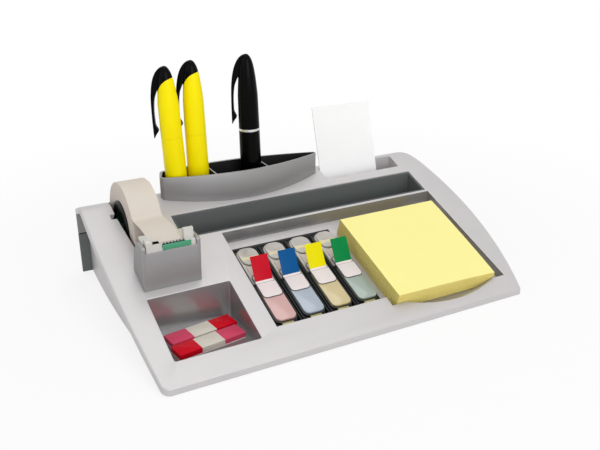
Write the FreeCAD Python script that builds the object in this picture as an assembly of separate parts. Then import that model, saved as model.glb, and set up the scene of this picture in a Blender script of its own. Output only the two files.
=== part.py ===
"""Desk organizer with tape dispenser, note recess, flag bays, pen cup and rear drawer.

X runs to the right, Y to the back and Z up, in millimetres.  Sizes are measured from
the deck's front left corner on the desk; saved pieces are moved so that the origin
lies on the desk, midway across and midway from front to back.
"""
import math
import os

import FreeCAD
import Part

os.makedirs("parts", exist_ok=True)

Vector = FreeCAD.Vector

# ---- deck: a sloping top that rises from the front lip to a rounded crest
LIP_HEIGHT = 4.3            # height of the deck's surface at the front lip
DECK_SLOPE = 19.24          # degrees
CREST_Y = 147.0             # where the rising and the falling slope would meet
CREST_RADIUS = 16.0
BACK_Y = 166.5              # outer face of the back plate
BACK_TOP = 47.4             # height of the deck's back edge
RIM_HEIGHT = 4.3            # visible edge of the deck all round
DECK_THICKNESS = 2.6

# ---- plan outline: both sides are shallow arcs
LEFT_EXTREME = -5.9
LEFT_ARC_Y = 101.5
LEFT_ARC_RADIUS = 1148.0
RIGHT_EXTREME = 258.7
RIGHT_ARC_Y = 88.0
RIGHT_ARC_RADIUS = 238.0
FRONT_LEFT_ROUND = 5.0
FRONT_RIGHT_ROUND = 1.5
BACK_RIGHT_ROUND = 42.0
BACK_LEFT_ROUND = 1.0
RIM_EDGE_ROUND = 1.2
OPENING_EDGE_ROUND = 0.5    # edges of the deck's openings

# ---- side walls stand back from the rim
WALL_INSET = 6.8
WALL_THICKNESS = 2.4
BACK_THICKNESS = 2.4
FOOT_HEIGHT = 1.0           # underside of the body above the desk
TUB_WALL = 1.6
FIT = 0.3                   # clearance between a loose piece and its seat
MARGIN = 20.0               # cutting solids reach past the body by this much
CUT_REACH = 90.0            # openings are cut up to here, above every surface
DRAWER_SEAM_Z = 30.2        # underside of the fixed back plate

# ---- square compartment
SQUARE_LEFT = 10.6
SQUARE_RIGHT = 62.3
SQUARE_FRONT = 15.9
SQUARE_BACK = 61.0
SQUARE_FLOOR = 2.6

# ---- note recess and flag pit share one sloping floor
RECESS_FLOOR_FRONT = 3.2    # floor height at the recess's front wall
RECESS_SLOPE = 18.06        # degrees
RECESS_FRONT = 15.4         # foot of the front wall, which stands square to the floor
RECESS_BACK = 100.5
RECESS_RIGHT = 238.5
PIT_LEFT = 74.3
PIT_RIGHT = 150.0
PIT_FRONT = 20.7
PIT_BACK = 94.1
PIT_DEPTH = 1.6             # below the recess floor
SCOOP_CENTRE_X = 194.2
SCOOP_RADIUS = 50.0         # of the dished edge on the deck
SCOOP_FRONT = 5.8
SCOOP_FLARE = 60.0          # degrees from upright

# ---- long tray
TRAY_LEFT = 48.6
TRAY_RIGHT = 237.5
TRAY_FRONT = 102.6
TRAY_BACK = 124.6
TRAY_FLOOR = 30.2
LINER_THICKNESS = 1.2

# ---- tape pocket, spool and tape
SPOOL_TO_BACK = 34.0        # spool's axis in front of the back plate's outer face
SPOOL_Y = BACK_Y - SPOOL_TO_BACK
SPOOL_Z = 42.6
TAPE_WIDTH = 19.0
TAPE_LEFT = 18.1
TAPE_RADIUS = 29.3
CORE_RADIUS = 13.5
CORE_THICKNESS = 1.0
HUB_THICKNESS = 2.0
HUB_FLANGE_THICKNESS = 0.8
HUB_FLANGE_RADIUS = 17.4
HUB_PIN_RADIUS = 2.2
PIN_CLEARANCE = 0.05
POCKET_LEFT = 14.5          # at the spool's depth
POCKET_RIGHT = 38.4
POCKET_SLANT = 4.8          # degrees, the left wall comes in towards the front
POCKET_RADIUS = 30.4
PIN_REACH = 3.0             # how far a hub pin enters the pocket's wall
CHEEK_THICKNESS = 4.6       # backing for the notches behind the pocket's walls
CHEEK_HALF = 7.0

# ---- cutter
CUTTER_LEFT = 11.0
CUTTER_RIGHT = 46.8
CUTTER_TO_SPOOL = 46.1      # cutter's back in front of the spool's axis
CUTTER_DEPTH = 20.1
CUTTER_BACK = SPOOL_Y - CUTTER_TO_SPOOL
CUTTER_FRONT = CUTTER_BACK - CUTTER_DEPTH
CUTTER_TOP = 56.2
CUTTER_ARM_LENGTH = 8.9
CUTTER_ARM_BACK = CUTTER_FRONT + CUTTER_ARM_LENGTH      # the arms' level top ends here
CUTTER_WAIST_FROM_BACK = 5.8
CUTTER_WAIST_Y = CUTTER_BACK - CUTTER_WAIST_FROM_BACK
CUTTER_WAIST_Z = 49.6
CUTTER_ARM = 2.6
CUTTER_LEAN = 1.6           # the front face leans forward by this much
BED_FRONT = 52.0            # height of the bed under the saddle at the front
BED_SLOPE = 13.0            # degrees
SADDLE_THICKNESS = 1.8
SADDLE_REACH = 15.0
LEFT_POST_WIDTH = 3.9
LEFT_POST_TOP = 59.4
RIGHT_POST_WIDTH = 6.2
RIGHT_POST_TOP = 62.0
POST_DEPTH = 6.0
BLOCK_RIGHT = 23.6          # small block at the front left, in front of the tape's end
BLOCK_DEPTH = 4.6
BLOCK_TOP = 57.0
BLADE_THICKNESS = 0.6
BLADE_TOP = 56.9
BLADE_PITCH = 1.9
BLADE_TOOTH = 1.0
GUARD_THICKNESS = 0.8
GUARD_BOTTOM = 52.6
GUARD_TOP = 55.9
TAPE_THICKNESS = 0.25

# ---- pen cup
CUP_LEFT = 47.6
CUP_RIGHT = 169.8
CUP_TIP_Y = 141.8
CUP_LOW_X = 99.0            # where the front wall comes furthest forward
CUP_FRONT_Y = 130.2
CUP_BACK_Y = 153.4
CUP_BACK_LEFT_X = 52.0
CUP_RIM = 68.0
CUP_FLOOR = 32.4
CUP_WALL = 1.2
CUP_STEP = 0.5              # the part below the deck is smaller by this much
CUP_DIVIDERS = (86.0, 124.0)
CUP_DIVIDER_TOP = 66.4

# ---- card slot
SLOT_LEFT = 170.0
SLOT_RIGHT = 233.0
SLOT_FRONT = 131.4
SLOT_BACK = 144.6
SLOT_FLOOR = 31.0

# ---- drawer
DRAWER_LEFT = 45.0
DRAWER_RIGHT = 196.0
DRAWER_FRONT_END = 98.0     # inner end of the box
DRAWER_BOTTOM = 3.6
DRAWER_TOP = 26.4
DRAWER_WALL = 1.8
DRAWER_FLOOR = 1.8
DRAWER_GAP = 0.8            # gap between the drawer's front and its surroundings
RUNNER_WIDTH = 3.0
RUNNER_GAP = 0.5
PARTITION_X = 120.0
PANEL_RIGHT = 203.0         # right end of the drawer's front panel
PULL_LEFT = 82.0
PULL_RIGHT = 118.0
PULL_DEPTH = 2.6
PULL_HEIGHT = 3.6
PULL_Z = 8.0

# ---- bottom cover, ballast, feet and screws
COVER_FRONT = 64.5
COVER_THICKNESS = 1.6
BALLAST_LEFT = 22.0
BALLAST_RIGHT = 228.0
BALLAST_FRONT = 72.0
BALLAST_BACK = 92.0
BALLAST_THICKNESS = 5.0
FOOT_RADIUS = 6.0
FOOT_FRONT_X = (20.0, 226.0)
FOOT_FRONT_Y = 24.0
FOOT_REAR_X = (22.0, 188.0)
FOOT_REAR_Y = 148.0
SCREW_HEAD_RADIUS = 2.8
SCREW_RADIUS = 1.5
SCREW_LENGTH = 8.0
BOSS_RADIUS = 3.4
SCREW_ROWS = (70.0, 144.0)
SCREW_BACK_RIGHT_X = 224.0

# ---- refills
PAD_SIDE = 76.0
PAD_THICKNESS = 12.8
PAD_LEFT = 153.6
PAD_FRONT = 15.8
CASE_COUNT = 4
CASE_LENGTH = 62.0
CASE_WIDTH = 15.4
CASE_THICKNESS = 6.4
CASE_FRONT = 25.4
CASE_END_ROUND = 4.0
RIB_THICKNESS = 1.0
RIB_GAP = 0.9
RIB_HEIGHT = 4.2
INSERT_THICKNESS = 1.0
TAB_WIDTH = 13.4
TAB_HEIGHT = 18.4
TAB_THICKNESS = 0.5
TAB_FOOT = 12.0
TAB_Y = 54.0
MARKER_LENGTH = 44.0
MARKER_WIDTH = 11.8
MARKER_THICKNESS = 5.8
MARKER_TURN = 6.0           # degrees, as the strips lie
MARKER_CENTRES = ((36.6, 44.2), (35.4, 30.9))
MARKER_GROOVE = 0.5
CARD_WIDTH = 48.5
CARD_HEIGHT = 69.0
CARD_THICKNESS = 0.8
CARD_LEFT = 170.9
CARD_Y = 136.4
CARD_LEAN = 16.5            # degrees, top towards the back

# ---- pens; heights are above the pen's own foot
HIGHLIGHTERS = ((62.9, 145.0, 2.6), (78.0, 144.8, 1.0))     # x, y, lean in degrees
BLACK_PEN = (115.6, 142.4, 1.2)
CLIP_TURN = -27.9           # degrees, the way the clips point
PEN_RADIUS = 6.9
PEN_WAIST_RADIUS = 6.7      # at the joint between barrel and cap
PEN_SHOULDER_RADIUS = 6.4
PEN_JOINT = 61.5
PEN_STRAIGHT = 36.0         # the barrel tapers above this height
PEN_SHOULDER = 84.0
SHOULDER_TO_TOP = 24.2
PEN_TOP = PEN_SHOULDER + SHOULDER_TO_TOP
CHEEK_IN = 1.8              # the cap's rounded end passes this far inside the shoulder
CHEEK_DROP = 7.3            # and this far below the top
BLACK_PEN_RISE = 3.4        # the black pen's cap is taller by this much
PEN_NECK = 10.0
CAP_WALL = 1.2
SHOULDER_TO_CROWN = 6.0     # the crown's seam below the clip
CROWN_RISE = 11.0           # the seam climbs by this much
CROWN_RUN = 10.9            # over this width
CROWN_LOW = PEN_SHOULDER + SHOULDER_TO_CROWN
CROWN_HIGH = CROWN_LOW + CROWN_RISE
CLIP_WIDTH = 3.6
RING_HEIGHT = 1.8
# side outline of the clip: distance from the axis, drop below the top, corner radius
CLIP_OUTLINE = (
    (1.0, 0.6, 0.0), (5.6, 3.6, 4.0), (8.6, 10.2, 8.0), (10.3, 24.2, 20.0),
    (10.5, 38.2, 10.0), (11.0, 47.2, 0.3), (7.6, 42.4, 0.4), (9.2, 38.7, 1.0),
    (9.1, 28.2, 8.0), (7.4, 16.7, 4.0), (4.5, 13.2, 0.0), (1.0, 11.2, 0.0),
)

MIDDLE_X = (LEFT_EXTREME + RIGHT_EXTREME) / 2.0
MIDDLE_Y = (BACK_Y + PULL_DEPTH) / 2.0
SPAN_LEFT = LEFT_EXTREME - MARGIN
SPAN = RIGHT_EXTREME - LEFT_EXTREME + 2.0 * MARGIN


# ---------------------------------------------------------------- helpers
def save(shape, name):
    """Write one solid, or one compound of like solids, to its own file."""
    placed = shape.copy()
    placed.translate(Vector(-MIDDLE_X, -MIDDLE_Y, 0.0))
    placed.exportStep("parts/" + name + ".step")


def box(x0, x1, y0, y1, z0, z1):
    """Axis-aligned box between two opposite corners."""
    return Part.makeBox(x1 - x0, y1 - y0, z1 - z0, Vector(x0, y0, z0))


def tan(angle):
    return math.tan(math.radians(angle))


def deck_height(y):
    """Height of the rising slope's surface."""
    return LIP_HEIGHT + tan(DECK_SLOPE) * y


def recess_height(y):
    """Height of the recess floor."""
    return RECESS_FLOOR_FRONT + tan(RECESS_SLOPE) * (y - RECESS_FRONT)


def rounded_wire(corners, place):
    """Closed wire through 2-D corners (u, v, radius); place maps (u, v) to space."""
    count = len(corners)
    ends = []
    for i in range(count):
        before = corners[i - 1]
        here = corners[i]
        after = corners[(i + 1) % count]
        ends.append(_corner_points(before, here, after))
    edges = []
    for i in range(count):
        first, middle, last = ends[i]
        following = ends[(i + 1) % count][0]
        if middle is not None:
            arc = Part.Arc(place(*first), place(*middle), place(*last))
            edges.append(arc.toShape())
        start = place(*last)
        finish = place(*following)
        if (start - finish).Length > 1e-6:
            edges.append(Part.makeLine(start, finish))
    return Part.Wire(edges)


def _corner_points(before, here, after):
    """Tangent points and arc middle of one rounded corner."""
    u, v, radius = here
    if radius <= 0.0:
        return (u, v), None, (u, v)
    ax, ay = before[0] - u, before[1] - v
    bx, by = after[0] - u, after[1] - v
    la, lb = math.hypot(ax, ay), math.hypot(bx, by)
    ax, ay, bx, by = ax / la, ay / la, bx / lb, by / lb
    half = math.acos(max(-1.0, min(1.0, ax * bx + ay * by))) / 2.0
    reach = radius / math.tan(half)
    cx, cy = ax + bx, ay + by
    lc = math.hypot(cx, cy)
    centre_distance = radius / math.sin(half)
    middle_distance = centre_distance - radius
    first = (u + ax * reach, v + ay * reach)
    last = (u + bx * reach, v + by * reach)
    middle = (u + cx / lc * middle_distance, v + cy / lc * middle_distance)
    return first, middle, last


def side_prism(corners, x0, x1):
    """Extrude a profile given in (y, z) from x0 to x1."""
    wire = rounded_wire(corners, lambda y, z: Vector(x0, y, z))
    return Part.Face(wire).extrude(Vector(x1 - x0, 0, 0))


def plan_block(corners, z0, z1):
    """Extrude a profile given in (x, y) from z0 to z1."""
    wire = rounded_wire(corners, lambda x, y: Vector(x, y, z0))
    return Part.Face(wire).extrude(Vector(0, 0, z1 - z0))


def rectangle(x0, x1, y0, y1, radius):
    """Corners of a rounded rectangle for plan_block or side_prism."""
    return [(x0, y0, radius), (x1, y0, radius), (x1, y1, radius), (x0, y1, radius)]


def one_solid(shape):
    """The single solid of a boolean result, cleaned of split faces."""
    shape = shape.removeSplitter()
    solids = sorted(shape.Solids, key=lambda s: s.Volume)
    return solids[-1]


# ---------------------------------------------------------------- envelope
def left_x(y):
    """Rim's left edge at depth y."""
    offset = y - LEFT_ARC_Y
    rise = LEFT_ARC_RADIUS - math.sqrt(LEFT_ARC_RADIUS ** 2 - offset ** 2)
    return LEFT_EXTREME + rise


def right_x(y):
    """Rim's right edge at depth y."""
    offset = y - RIGHT_ARC_Y
    fall = RIGHT_ARC_RADIUS - math.sqrt(RIGHT_ARC_RADIUS ** 2 - offset ** 2)
    return RIGHT_EXTREME - fall


def plan_prism(inset, front, back, rounds, z0, z1):
    """Prism of the plan outline, its sides moved in by inset, between two depths."""
    middle = (front + back) / 2.0
    a = Vector(left_x(front) + inset, front, z0)
    b = Vector(right_x(front) - inset, front, z0)
    c = Vector(right_x(back) - inset, back, z0)
    d = Vector(left_x(back) + inset, back, z0)
    right_middle = Vector(right_x(middle) - inset, middle, z0)
    left_middle = Vector(left_x(middle) + inset, middle, z0)
    edges = [
        Part.makeLine(a, b),
        Part.Arc(b, right_middle, c).toShape(),
        Part.makeLine(c, d),
        Part.Arc(d, left_middle, a).toShape(),
    ]
    prism = Part.Face(Part.Wire(edges)).extrude(Vector(0, 0, z1 - z0))
    for corner, radius in zip((a, b, c, d), rounds):
        if radius > 0.0:
            prism = fillet_upright(prism, corner, radius)
    return prism


def fillet_upright(prism, corner, radius):
    """Round the upright edge that stands over a corner."""
    for edge in prism.Edges:
        points = [vertex.Point for vertex in edge.Vertexes]
        near = all(math.hypot(p.x - corner.x, p.y - corner.y) < 0.01 for p in points)
        if near and len(points) == 2:
            return prism.makeFillet(radius, [edge])
    return prism


def under_deck(drop, floor, back=BACK_Y + 5.0):
    """Everything below the deck's surface lowered by drop, above floor."""
    front = -5.0
    fall = (deck_height(CREST_Y) - BACK_TOP) / (BACK_Y - CREST_Y)
    back_z = BACK_TOP - fall * (back - BACK_Y)
    corners = [
        (front, floor, 0.0),
        (front, deck_height(front) - drop, 0.0),
        (CREST_Y, deck_height(CREST_Y) - drop, CREST_RADIUS - min(drop, 4.0)),
        (back, back_z - drop, 0.0),
        (back, floor, 0.0),
    ]
    return side_prism(corners, SPAN_LEFT, SPAN_LEFT + SPAN)


def outer_prism(z0, z1):
    rounds = (FRONT_LEFT_ROUND, FRONT_RIGHT_ROUND, BACK_RIGHT_ROUND, BACK_LEFT_ROUND)
    return plan_prism(0.0, 0.0, BACK_Y, rounds, z0, z1)


def wall_front():
    """Depth of the inset front wall's outer face."""
    return WALL_INSET


def wall_back():
    """Depth of the back plate's front face."""
    return BACK_Y - BACK_THICKNESS


# ---------------------------------------------------------------- top shell
def top_outline(band):
    """Edges where the band's top faces meet its sides."""
    tops = [face for face in band.Faces if face.normalAt(0, 0).z > 0.5]
    outline = []
    for edge in band.Edges:
        owners = 0
        for face in tops:
            owners += sum(1 for other in face.Edges if other.isSame(edge))
        if owners == 1:
            outline.append(edge)
    return outline


def shell_rim():
    """The deck's edge band, as thick as the rim is high, with a softened top edge."""
    slab = under_deck(0.0, -MARGIN).cut(under_deck(RIM_HEIGHT, -2.0 * MARGIN))
    band = one_solid(outer_prism(0.0, CUT_REACH).common(slab))
    return band.makeFillet(RIM_EDGE_ROUND, top_outline(band))


def shell_walls():
    """Block inside the inset walls' outer faces; the hollow is cut from it later."""
    rounds = (FRONT_LEFT_ROUND, FRONT_RIGHT_ROUND, BACK_RIGHT_ROUND - WALL_INSET, 0.0)
    outer = plan_prism(WALL_INSET, wall_front(), wall_back(), rounds, FOOT_HEIGHT, CUT_REACH)
    return outer.common(under_deck(1.0, -10.0))


def shell_cavity():
    inset = WALL_INSET + WALL_THICKNESS
    rounds = (FRONT_LEFT_ROUND - 1.0, 0.0, BACK_RIGHT_ROUND - inset, 0.0)
    front = wall_front() + WALL_THICKNESS
    hollow = plan_prism(inset, front, wall_back(), rounds, FOOT_HEIGHT - 5.0, CUT_REACH)
    hollow = hollow.common(under_deck(DECK_THICKNESS, -10.0))
    corner = box(PANEL_RIGHT, SPAN_LEFT + SPAN, wall_back() - WALL_THICKNESS, BACK_Y, -5.0, CUT_REACH)
    return hollow.cut(corner)


def shell_back():
    """Fixed back plate above the drawer and beside its right end."""
    end = SPAN_LEFT + SPAN
    plate = box(SPAN_LEFT, end, wall_back(), BACK_Y + 1.0, DRAWER_SEAM_Z, CUT_REACH)
    corner = box(PANEL_RIGHT + DRAWER_GAP, end, wall_back(), BACK_Y + 1.0, FOOT_HEIGHT, CUT_REACH)
    below_edge = under_deck(RIM_EDGE_ROUND + FIT, 0.0)
    return outer_prism(0.0, CUT_REACH).common(plate.fuse(corner)).common(below_edge)


def sloped_floor(x0, x1, y0, y1, drop):
    """Block above the recess floor lowered by drop, open to the top."""
    corners = [
        (y0, recess_height(y0) - drop, 0.0),
        (y1, recess_height(y1) - drop, 0.0),
        (y1, CUT_REACH, 0.0),
        (y0, CUT_REACH, 0.0),
    ]
    return side_prism(corners, x0, x1)


def square_tub(grow):
    corners = rectangle(SQUARE_LEFT - grow, SQUARE_RIGHT + grow,
                        SQUARE_FRONT - grow, SQUARE_BACK + grow, 1.0 + grow)
    return plan_block(corners, SQUARE_FLOOR - grow, CUT_REACH)


def recess_tub(grow):
    """Note recess and the ledge behind the flag pit."""
    y0, y1 = RECESS_FRONT - grow, RECESS_BACK + grow
    rise = CUT_REACH - recess_height(y0)
    corners = [(y0, recess_height(y0) - grow, 0.0), (y1, recess_height(y1) - grow, 0.0),
               (y1, CUT_REACH, 0.0), (y0 - rise * tan(RECESS_SLOPE), CUT_REACH, 0.0)]
    notes = side_prism(corners, PIT_RIGHT - grow, RECESS_RIGHT + grow)
    flags = sloped_floor(PIT_LEFT - grow, PIT_RIGHT + grow,
                         PIT_FRONT - grow, RECESS_BACK + grow, grow)
    return notes.fuse(flags)


def pit_tub(grow):
    return sloped_floor(PIT_LEFT - grow, PIT_RIGHT + grow,
                        PIT_FRONT - grow, PIT_BACK + grow, PIT_DEPTH + grow)


def tray_tub(grow):
    return box(TRAY_LEFT - grow, TRAY_RIGHT + grow, TRAY_FRONT - grow,
               TRAY_BACK + grow, TRAY_FLOOR - grow, CUT_REACH)


def slot_tub(grow):
    corners = rectangle(SLOT_LEFT - grow, SLOT_RIGHT + grow,
                        SLOT_FRONT - grow, SLOT_BACK + grow, 1.2 + grow)
    return plan_block(corners, SLOT_FLOOR - grow, CUT_REACH)


def pocket_tub(grow):
    """Round-bottomed pocket for the tape, open to the top, its left wall slanted."""
    radius = POCKET_RADIUS + grow
    left = POCKET_LEFT - grow
    right = POCKET_RIGHT + grow
    low, high = SPOOL_Y - radius, SPOOL_Y + radius
    centre = Vector(left, SPOOL_Y, SPOOL_Z)
    drum = Part.makeCylinder(radius, right - left, centre, Vector(1, 0, 0))
    pocket = drum.fuse(box(left, right, low, high, SPOOL_Z, CUT_REACH))
    run = (SPOOL_Y - low) * tan(POCKET_SLANT)
    corners = [(left, high, 0.0), (left, SPOOL_Y, 0.0), (left + run, low, 0.0),
               (right, low, 0.0), (right, high, 0.0)]
    return pocket.common(plan_block(corners, 0.0, CUT_REACH))


def pin_notches():
    """U-shaped notches in the pocket's walls that carry the hub's pins."""
    radius = HUB_PIN_RADIUS + PIN_CLEARANCE
    left = POCKET_LEFT - PIN_REACH - FIT
    right = POCKET_RIGHT + PIN_REACH + FIT
    seat = Part.makeCylinder(radius, right - left, Vector(left, SPOOL_Y, SPOOL_Z), Vector(1, 0, 0))
    return seat.fuse(box(left, right, SPOOL_Y - radius, SPOOL_Y + radius, SPOOL_Z, CUT_REACH))


def pocket_cheeks():
    """Solid backing beside the pocket in which the notches are cut."""
    low, high = SPOOL_Y - CHEEK_HALF, SPOOL_Y + CHEEK_HALF
    bottom = SPOOL_Z - CHEEK_HALF
    left = box(POCKET_LEFT - CHEEK_THICKNESS, POCKET_LEFT, low, high, bottom, CUT_REACH)
    right = box(POCKET_RIGHT, POCKET_RIGHT + CHEEK_THICKNESS, low, high, bottom, CUT_REACH)
    return [left, right]


def finger_scoop(grow):
    """Dished scoop in front of the note recess, a slice of a wide cone."""
    bottom = RECESS_FLOOR_FRONT - grow
    edge_rise = deck_height(SCOOP_FRONT) - RECESS_FLOOR_FRONT
    flare = tan(SCOOP_FLARE)
    small = SCOOP_RADIUS - edge_rise * flare + grow
    rise = 3.0 * edge_rise
    at = Vector(SCOOP_CENTRE_X, SCOOP_FRONT + SCOOP_RADIUS, bottom)
    dish = Part.makeCone(small, small + rise * flare, rise, at)
    front = box(PAD_LEFT, RECESS_RIGHT, 0.0, RECESS_FRONT + 0.5, bottom, CUT_REACH)
    return dish.common(front)


def foot_places():
    """Feet as (name, x, y); the front ones stand under columns of the shell."""
    return (
        ("foot_front_left", FOOT_FRONT_X[0], FOOT_FRONT_Y),
        ("foot_front_right", FOOT_FRONT_X[1], FOOT_FRONT_Y),
        ("foot_rear_left", FOOT_REAR_X[0], FOOT_REAR_Y),
        ("foot_rear_right", FOOT_REAR_X[1], FOOT_REAR_Y),
    )


def foot_columns():
    """Columns from the underside to the deck above the two front feet."""
    columns = []
    for x in FOOT_FRONT_X:
        columns.append(Part.makeCylinder(FOOT_RADIUS + 0.8, CUT_REACH,
                                         Vector(x, FOOT_FRONT_Y, FOOT_HEIGHT)))
    return columns


def screw_places():
    """Where the cover's screws and their bosses stand."""
    inset = WALL_INSET + WALL_THICKNESS + BOSS_RADIUS
    front, back = SCREW_ROWS
    return (
        (left_x(front) + inset + 1.0, front),
        (right_x(front) - inset - 1.0, front),
        (left_x(back) + inset, back),
        (SCREW_BACK_RIGHT_X, back),
    )


def shell_bosses(radius, z0, z1):
    bosses = []
    for x, y in screw_places():
        bosses.append(Part.makeCylinder(radius, z1 - z0, Vector(x, y, z0)))
    return bosses


def hollow_space():
    """The shell's inner space, less the tubs, bosses and columns that stand in it."""
    floor = FOOT_HEIGHT + COVER_THICKNESS
    kept = [square_tub(TUB_WALL), recess_tub(TUB_WALL), pit_tub(TUB_WALL), tray_tub(TUB_WALL),
            slot_tub(TUB_WALL), pocket_tub(TUB_WALL), finger_scoop(TUB_WALL)]
    kept = kept + pocket_cheeks() + foot_columns() + shell_bosses(BOSS_RADIUS, floor, CUT_REACH)
    return shell_cavity().cut(kept)


def deck_opening_edges(shell):
    """Edges of the openings that lie wholly in the deck's rising slope."""
    slopes = []
    for face in shell.Faces:
        centre = face.CenterOfMass
        level = isinstance(face.Surface, Part.Plane) and face.normalAt(0, 0).z > 0.5
        if level and abs(centre.z - deck_height(centre.y)) < 0.01:
            slopes.append(face)
    deck = max(slopes, key=lambda face: face.Area)
    edges = []
    for wire in deck.Wires:
        if not wire.isSame(deck.OuterWire):
            edges = edges + wire.Edges
    return edges


def top_shell():
    """Deck, rim, inset walls, back plate and every pocket as one moulding."""
    floor = FOOT_HEIGHT + COVER_THICKNESS
    shell = shell_rim().fuse([shell_walls(), shell_back()])
    shell = shell.cut(hollow_space())
    openings = [square_tub(0.0), recess_tub(0.0), pit_tub(0.0), tray_tub(0.0),
                slot_tub(0.0), pocket_tub(0.0), pin_notches(), finger_scoop(0.0),
                cup_body(CUP_STEP - FIT, 0.0, CUT_REACH)]
    openings = openings + shell_bosses(SCREW_RADIUS, floor - 1.0, floor + SCREW_LENGTH)
    shell = shell.cut(openings)
    shell = one_solid(shell.cut(cover_outline(0.0)))
    return shell.makeFillet(OPENING_EDGE_ROUND, deck_opening_edges(shell))


# ---------------------------------------------------------------- bottom
def cover_outline(play):
    """Bottom cover's plate, which lies inside the side walls."""
    inset = WALL_INSET + WALL_THICKNESS + play
    rounds = (0.0, 0.0, BACK_RIGHT_ROUND - inset, 0.0)
    plate = plan_prism(inset, COVER_FRONT + play, wall_back(), rounds, FOOT_HEIGHT,
                       FOOT_HEIGHT + COVER_THICKNESS)
    back = wall_back() - WALL_THICKNESS - play
    corner = box(PANEL_RIGHT - play, SPAN_LEFT + SPAN, back, BACK_Y, 0.0, 10.0)
    return plate.cut(corner)


def base_cover():
    cover = cover_outline(FIT)
    holes = []
    for x, y in screw_places():
        holes.append(Part.makeCylinder(SCREW_RADIUS + 0.2, 10.0, Vector(x, y, 0)))
    return one_solid(cover.cut(holes))


def cover_screws():
    """Four like pan-head screws that hold the cover to the shell's bosses."""
    screws = []
    for x, y in screw_places():
        head = Part.makeCylinder(SCREW_HEAD_RADIUS, FOOT_HEIGHT - 0.3, Vector(x, y, 0.3))
        shank_top = FOOT_HEIGHT + COVER_THICKNESS + SCREW_LENGTH - 0.5
        shank = Part.makeCylinder(SCREW_RADIUS, shank_top - FOOT_HEIGHT, Vector(x, y, FOOT_HEIGHT))
        screws.append(head.fuse(shank).removeSplitter())
    return Part.makeCompound(screws)


def foot(x, y):
    """Round rubber pad from the desk to the underside it is glued to."""
    return Part.makeCylinder(FOOT_RADIUS, FOOT_HEIGHT, Vector(x, y, 0.0))


def ballast_plate():
    """Steel bar on the cover, under the flag pit, that steadies the dispenser."""
    bottom = FOOT_HEIGHT + COVER_THICKNESS
    return plan_block(rectangle(BALLAST_LEFT, BALLAST_RIGHT, BALLAST_FRONT, BALLAST_BACK, 3.0),
                      bottom, bottom + BALLAST_THICKNESS)


# ---------------------------------------------------------------- liners
def tray_liner():
    """Thin dark tray that drops into the long opening."""
    x0, x1 = TRAY_LEFT + FIT, TRAY_RIGHT - FIT
    y0, y1 = TRAY_FRONT + FIT, TRAY_BACK - FIT
    outer = plan_block(rectangle(x0, x1, y0, y1, 1.2), TRAY_FLOOR, CUP_RIM)
    wall = LINER_THICKNESS
    inner = plan_block(rectangle(x0 + wall, x1 - wall, y0 + wall, y1 - wall, 0.8),
                       TRAY_FLOOR + wall, CUP_RIM)
    return one_solid(outer.cut(inner).common(under_deck(0.6, 0.0)))


def bay_pitch():
    return (PIT_RIGHT - PIT_LEFT) / CASE_COUNT


def bay_centre(index):
    return PIT_LEFT + bay_pitch() * (index + 0.5)


def index_insert():
    """Black insert with double ribs between the four flag bays."""
    x0, x1 = PIT_LEFT + FIT, PIT_RIGHT - FIT
    y0, y1 = PIT_FRONT + FIT, PIT_BACK - FIT
    corners = []
    lift = RIB_HEIGHT + INSERT_THICKNESS
    for y, up in ((y0, 0.0), (y1, 0.0), (y1, lift), (y0, lift)):
        corners.append((y, recess_height(y) - PIT_DEPTH + up, 0.0))
    solid = side_prism(corners, x0, x1)
    wall = RIB_THICKNESS
    cuts = []
    for index in range(CASE_COUNT):
        left = PIT_LEFT + bay_pitch() * index
        right = left + bay_pitch()
        left = x0 + wall if index == 0 else left + RIB_GAP / 2.0 + wall
        right = x1 - wall if index == CASE_COUNT - 1 else right - RIB_GAP / 2.0 - wall
        cuts.append(sloped_floor(left, right, y0 + wall, y1 - wall, PIT_DEPTH - INSERT_THICKNESS))
        if index > 0:
            middle = PIT_LEFT + bay_pitch() * index
            cuts.append(sloped_floor(middle - RIB_GAP / 2.0, middle + RIB_GAP / 2.0,
                                     y0 + wall, y1 - wall, PIT_DEPTH - INSERT_THICKNESS))
    return one_solid(solid.cut(cuts))


# ---------------------------------------------------------------- cutter
def cutter_profile():
    """Side outline of the housing's arms, in (y, z)."""
    return [
        (CUTTER_FRONT, deck_height(CUTTER_FRONT) - 1.0, 0.0),
        (CUTTER_FRONT - CUTTER_LEAN, CUTTER_TOP, 1.5),
        (CUTTER_ARM_BACK, CUTTER_TOP, 2.0),
        (CUTTER_WAIST_Y, CUTTER_WAIST_Z, 6.0),
        (CUTTER_BACK, deck_height(CUTTER_BACK) - 1.0, 0.0),
    ]


def saddle_front():
    return CUTTER_FRONT - CUTTER_LEAN + 0.5


def bed_height(y):
    """Underside of the saddle."""
    return BED_FRONT + tan(BED_SLOPE) * (y - saddle_front())


def cutter_housing():
    """Block on the deck with two arms and a sloping bed between them."""
    body = side_prism(cutter_profile(), CUTTER_LEFT, CUTTER_RIGHT)
    y0, y1 = CUTTER_FRONT - 8.0, CUTTER_BACK + 8.0
    bed = [(y0, bed_height(y0), 0.0), (y1, bed_height(y1), 0.0),
           (y1, CUT_REACH, 0.0), (y0, CUT_REACH, 0.0)]
    channel = side_prism(bed, CUTTER_LEFT + CUTTER_ARM, CUTTER_RIGHT - CUTTER_ARM)
    return one_solid(body.cut([channel, under_deck(0.0, -10.0)]))


def bed_block(x0, x1, y0, y1, top, radius):
    """Block on the bed between two depths, flat on top."""
    corners = [(y0, bed_height(y0), 0.0), (y1, bed_height(y1), 0.0),
               (y1, top, radius), (y0, top, radius)]
    return side_prism(corners, x0, x1)


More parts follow.
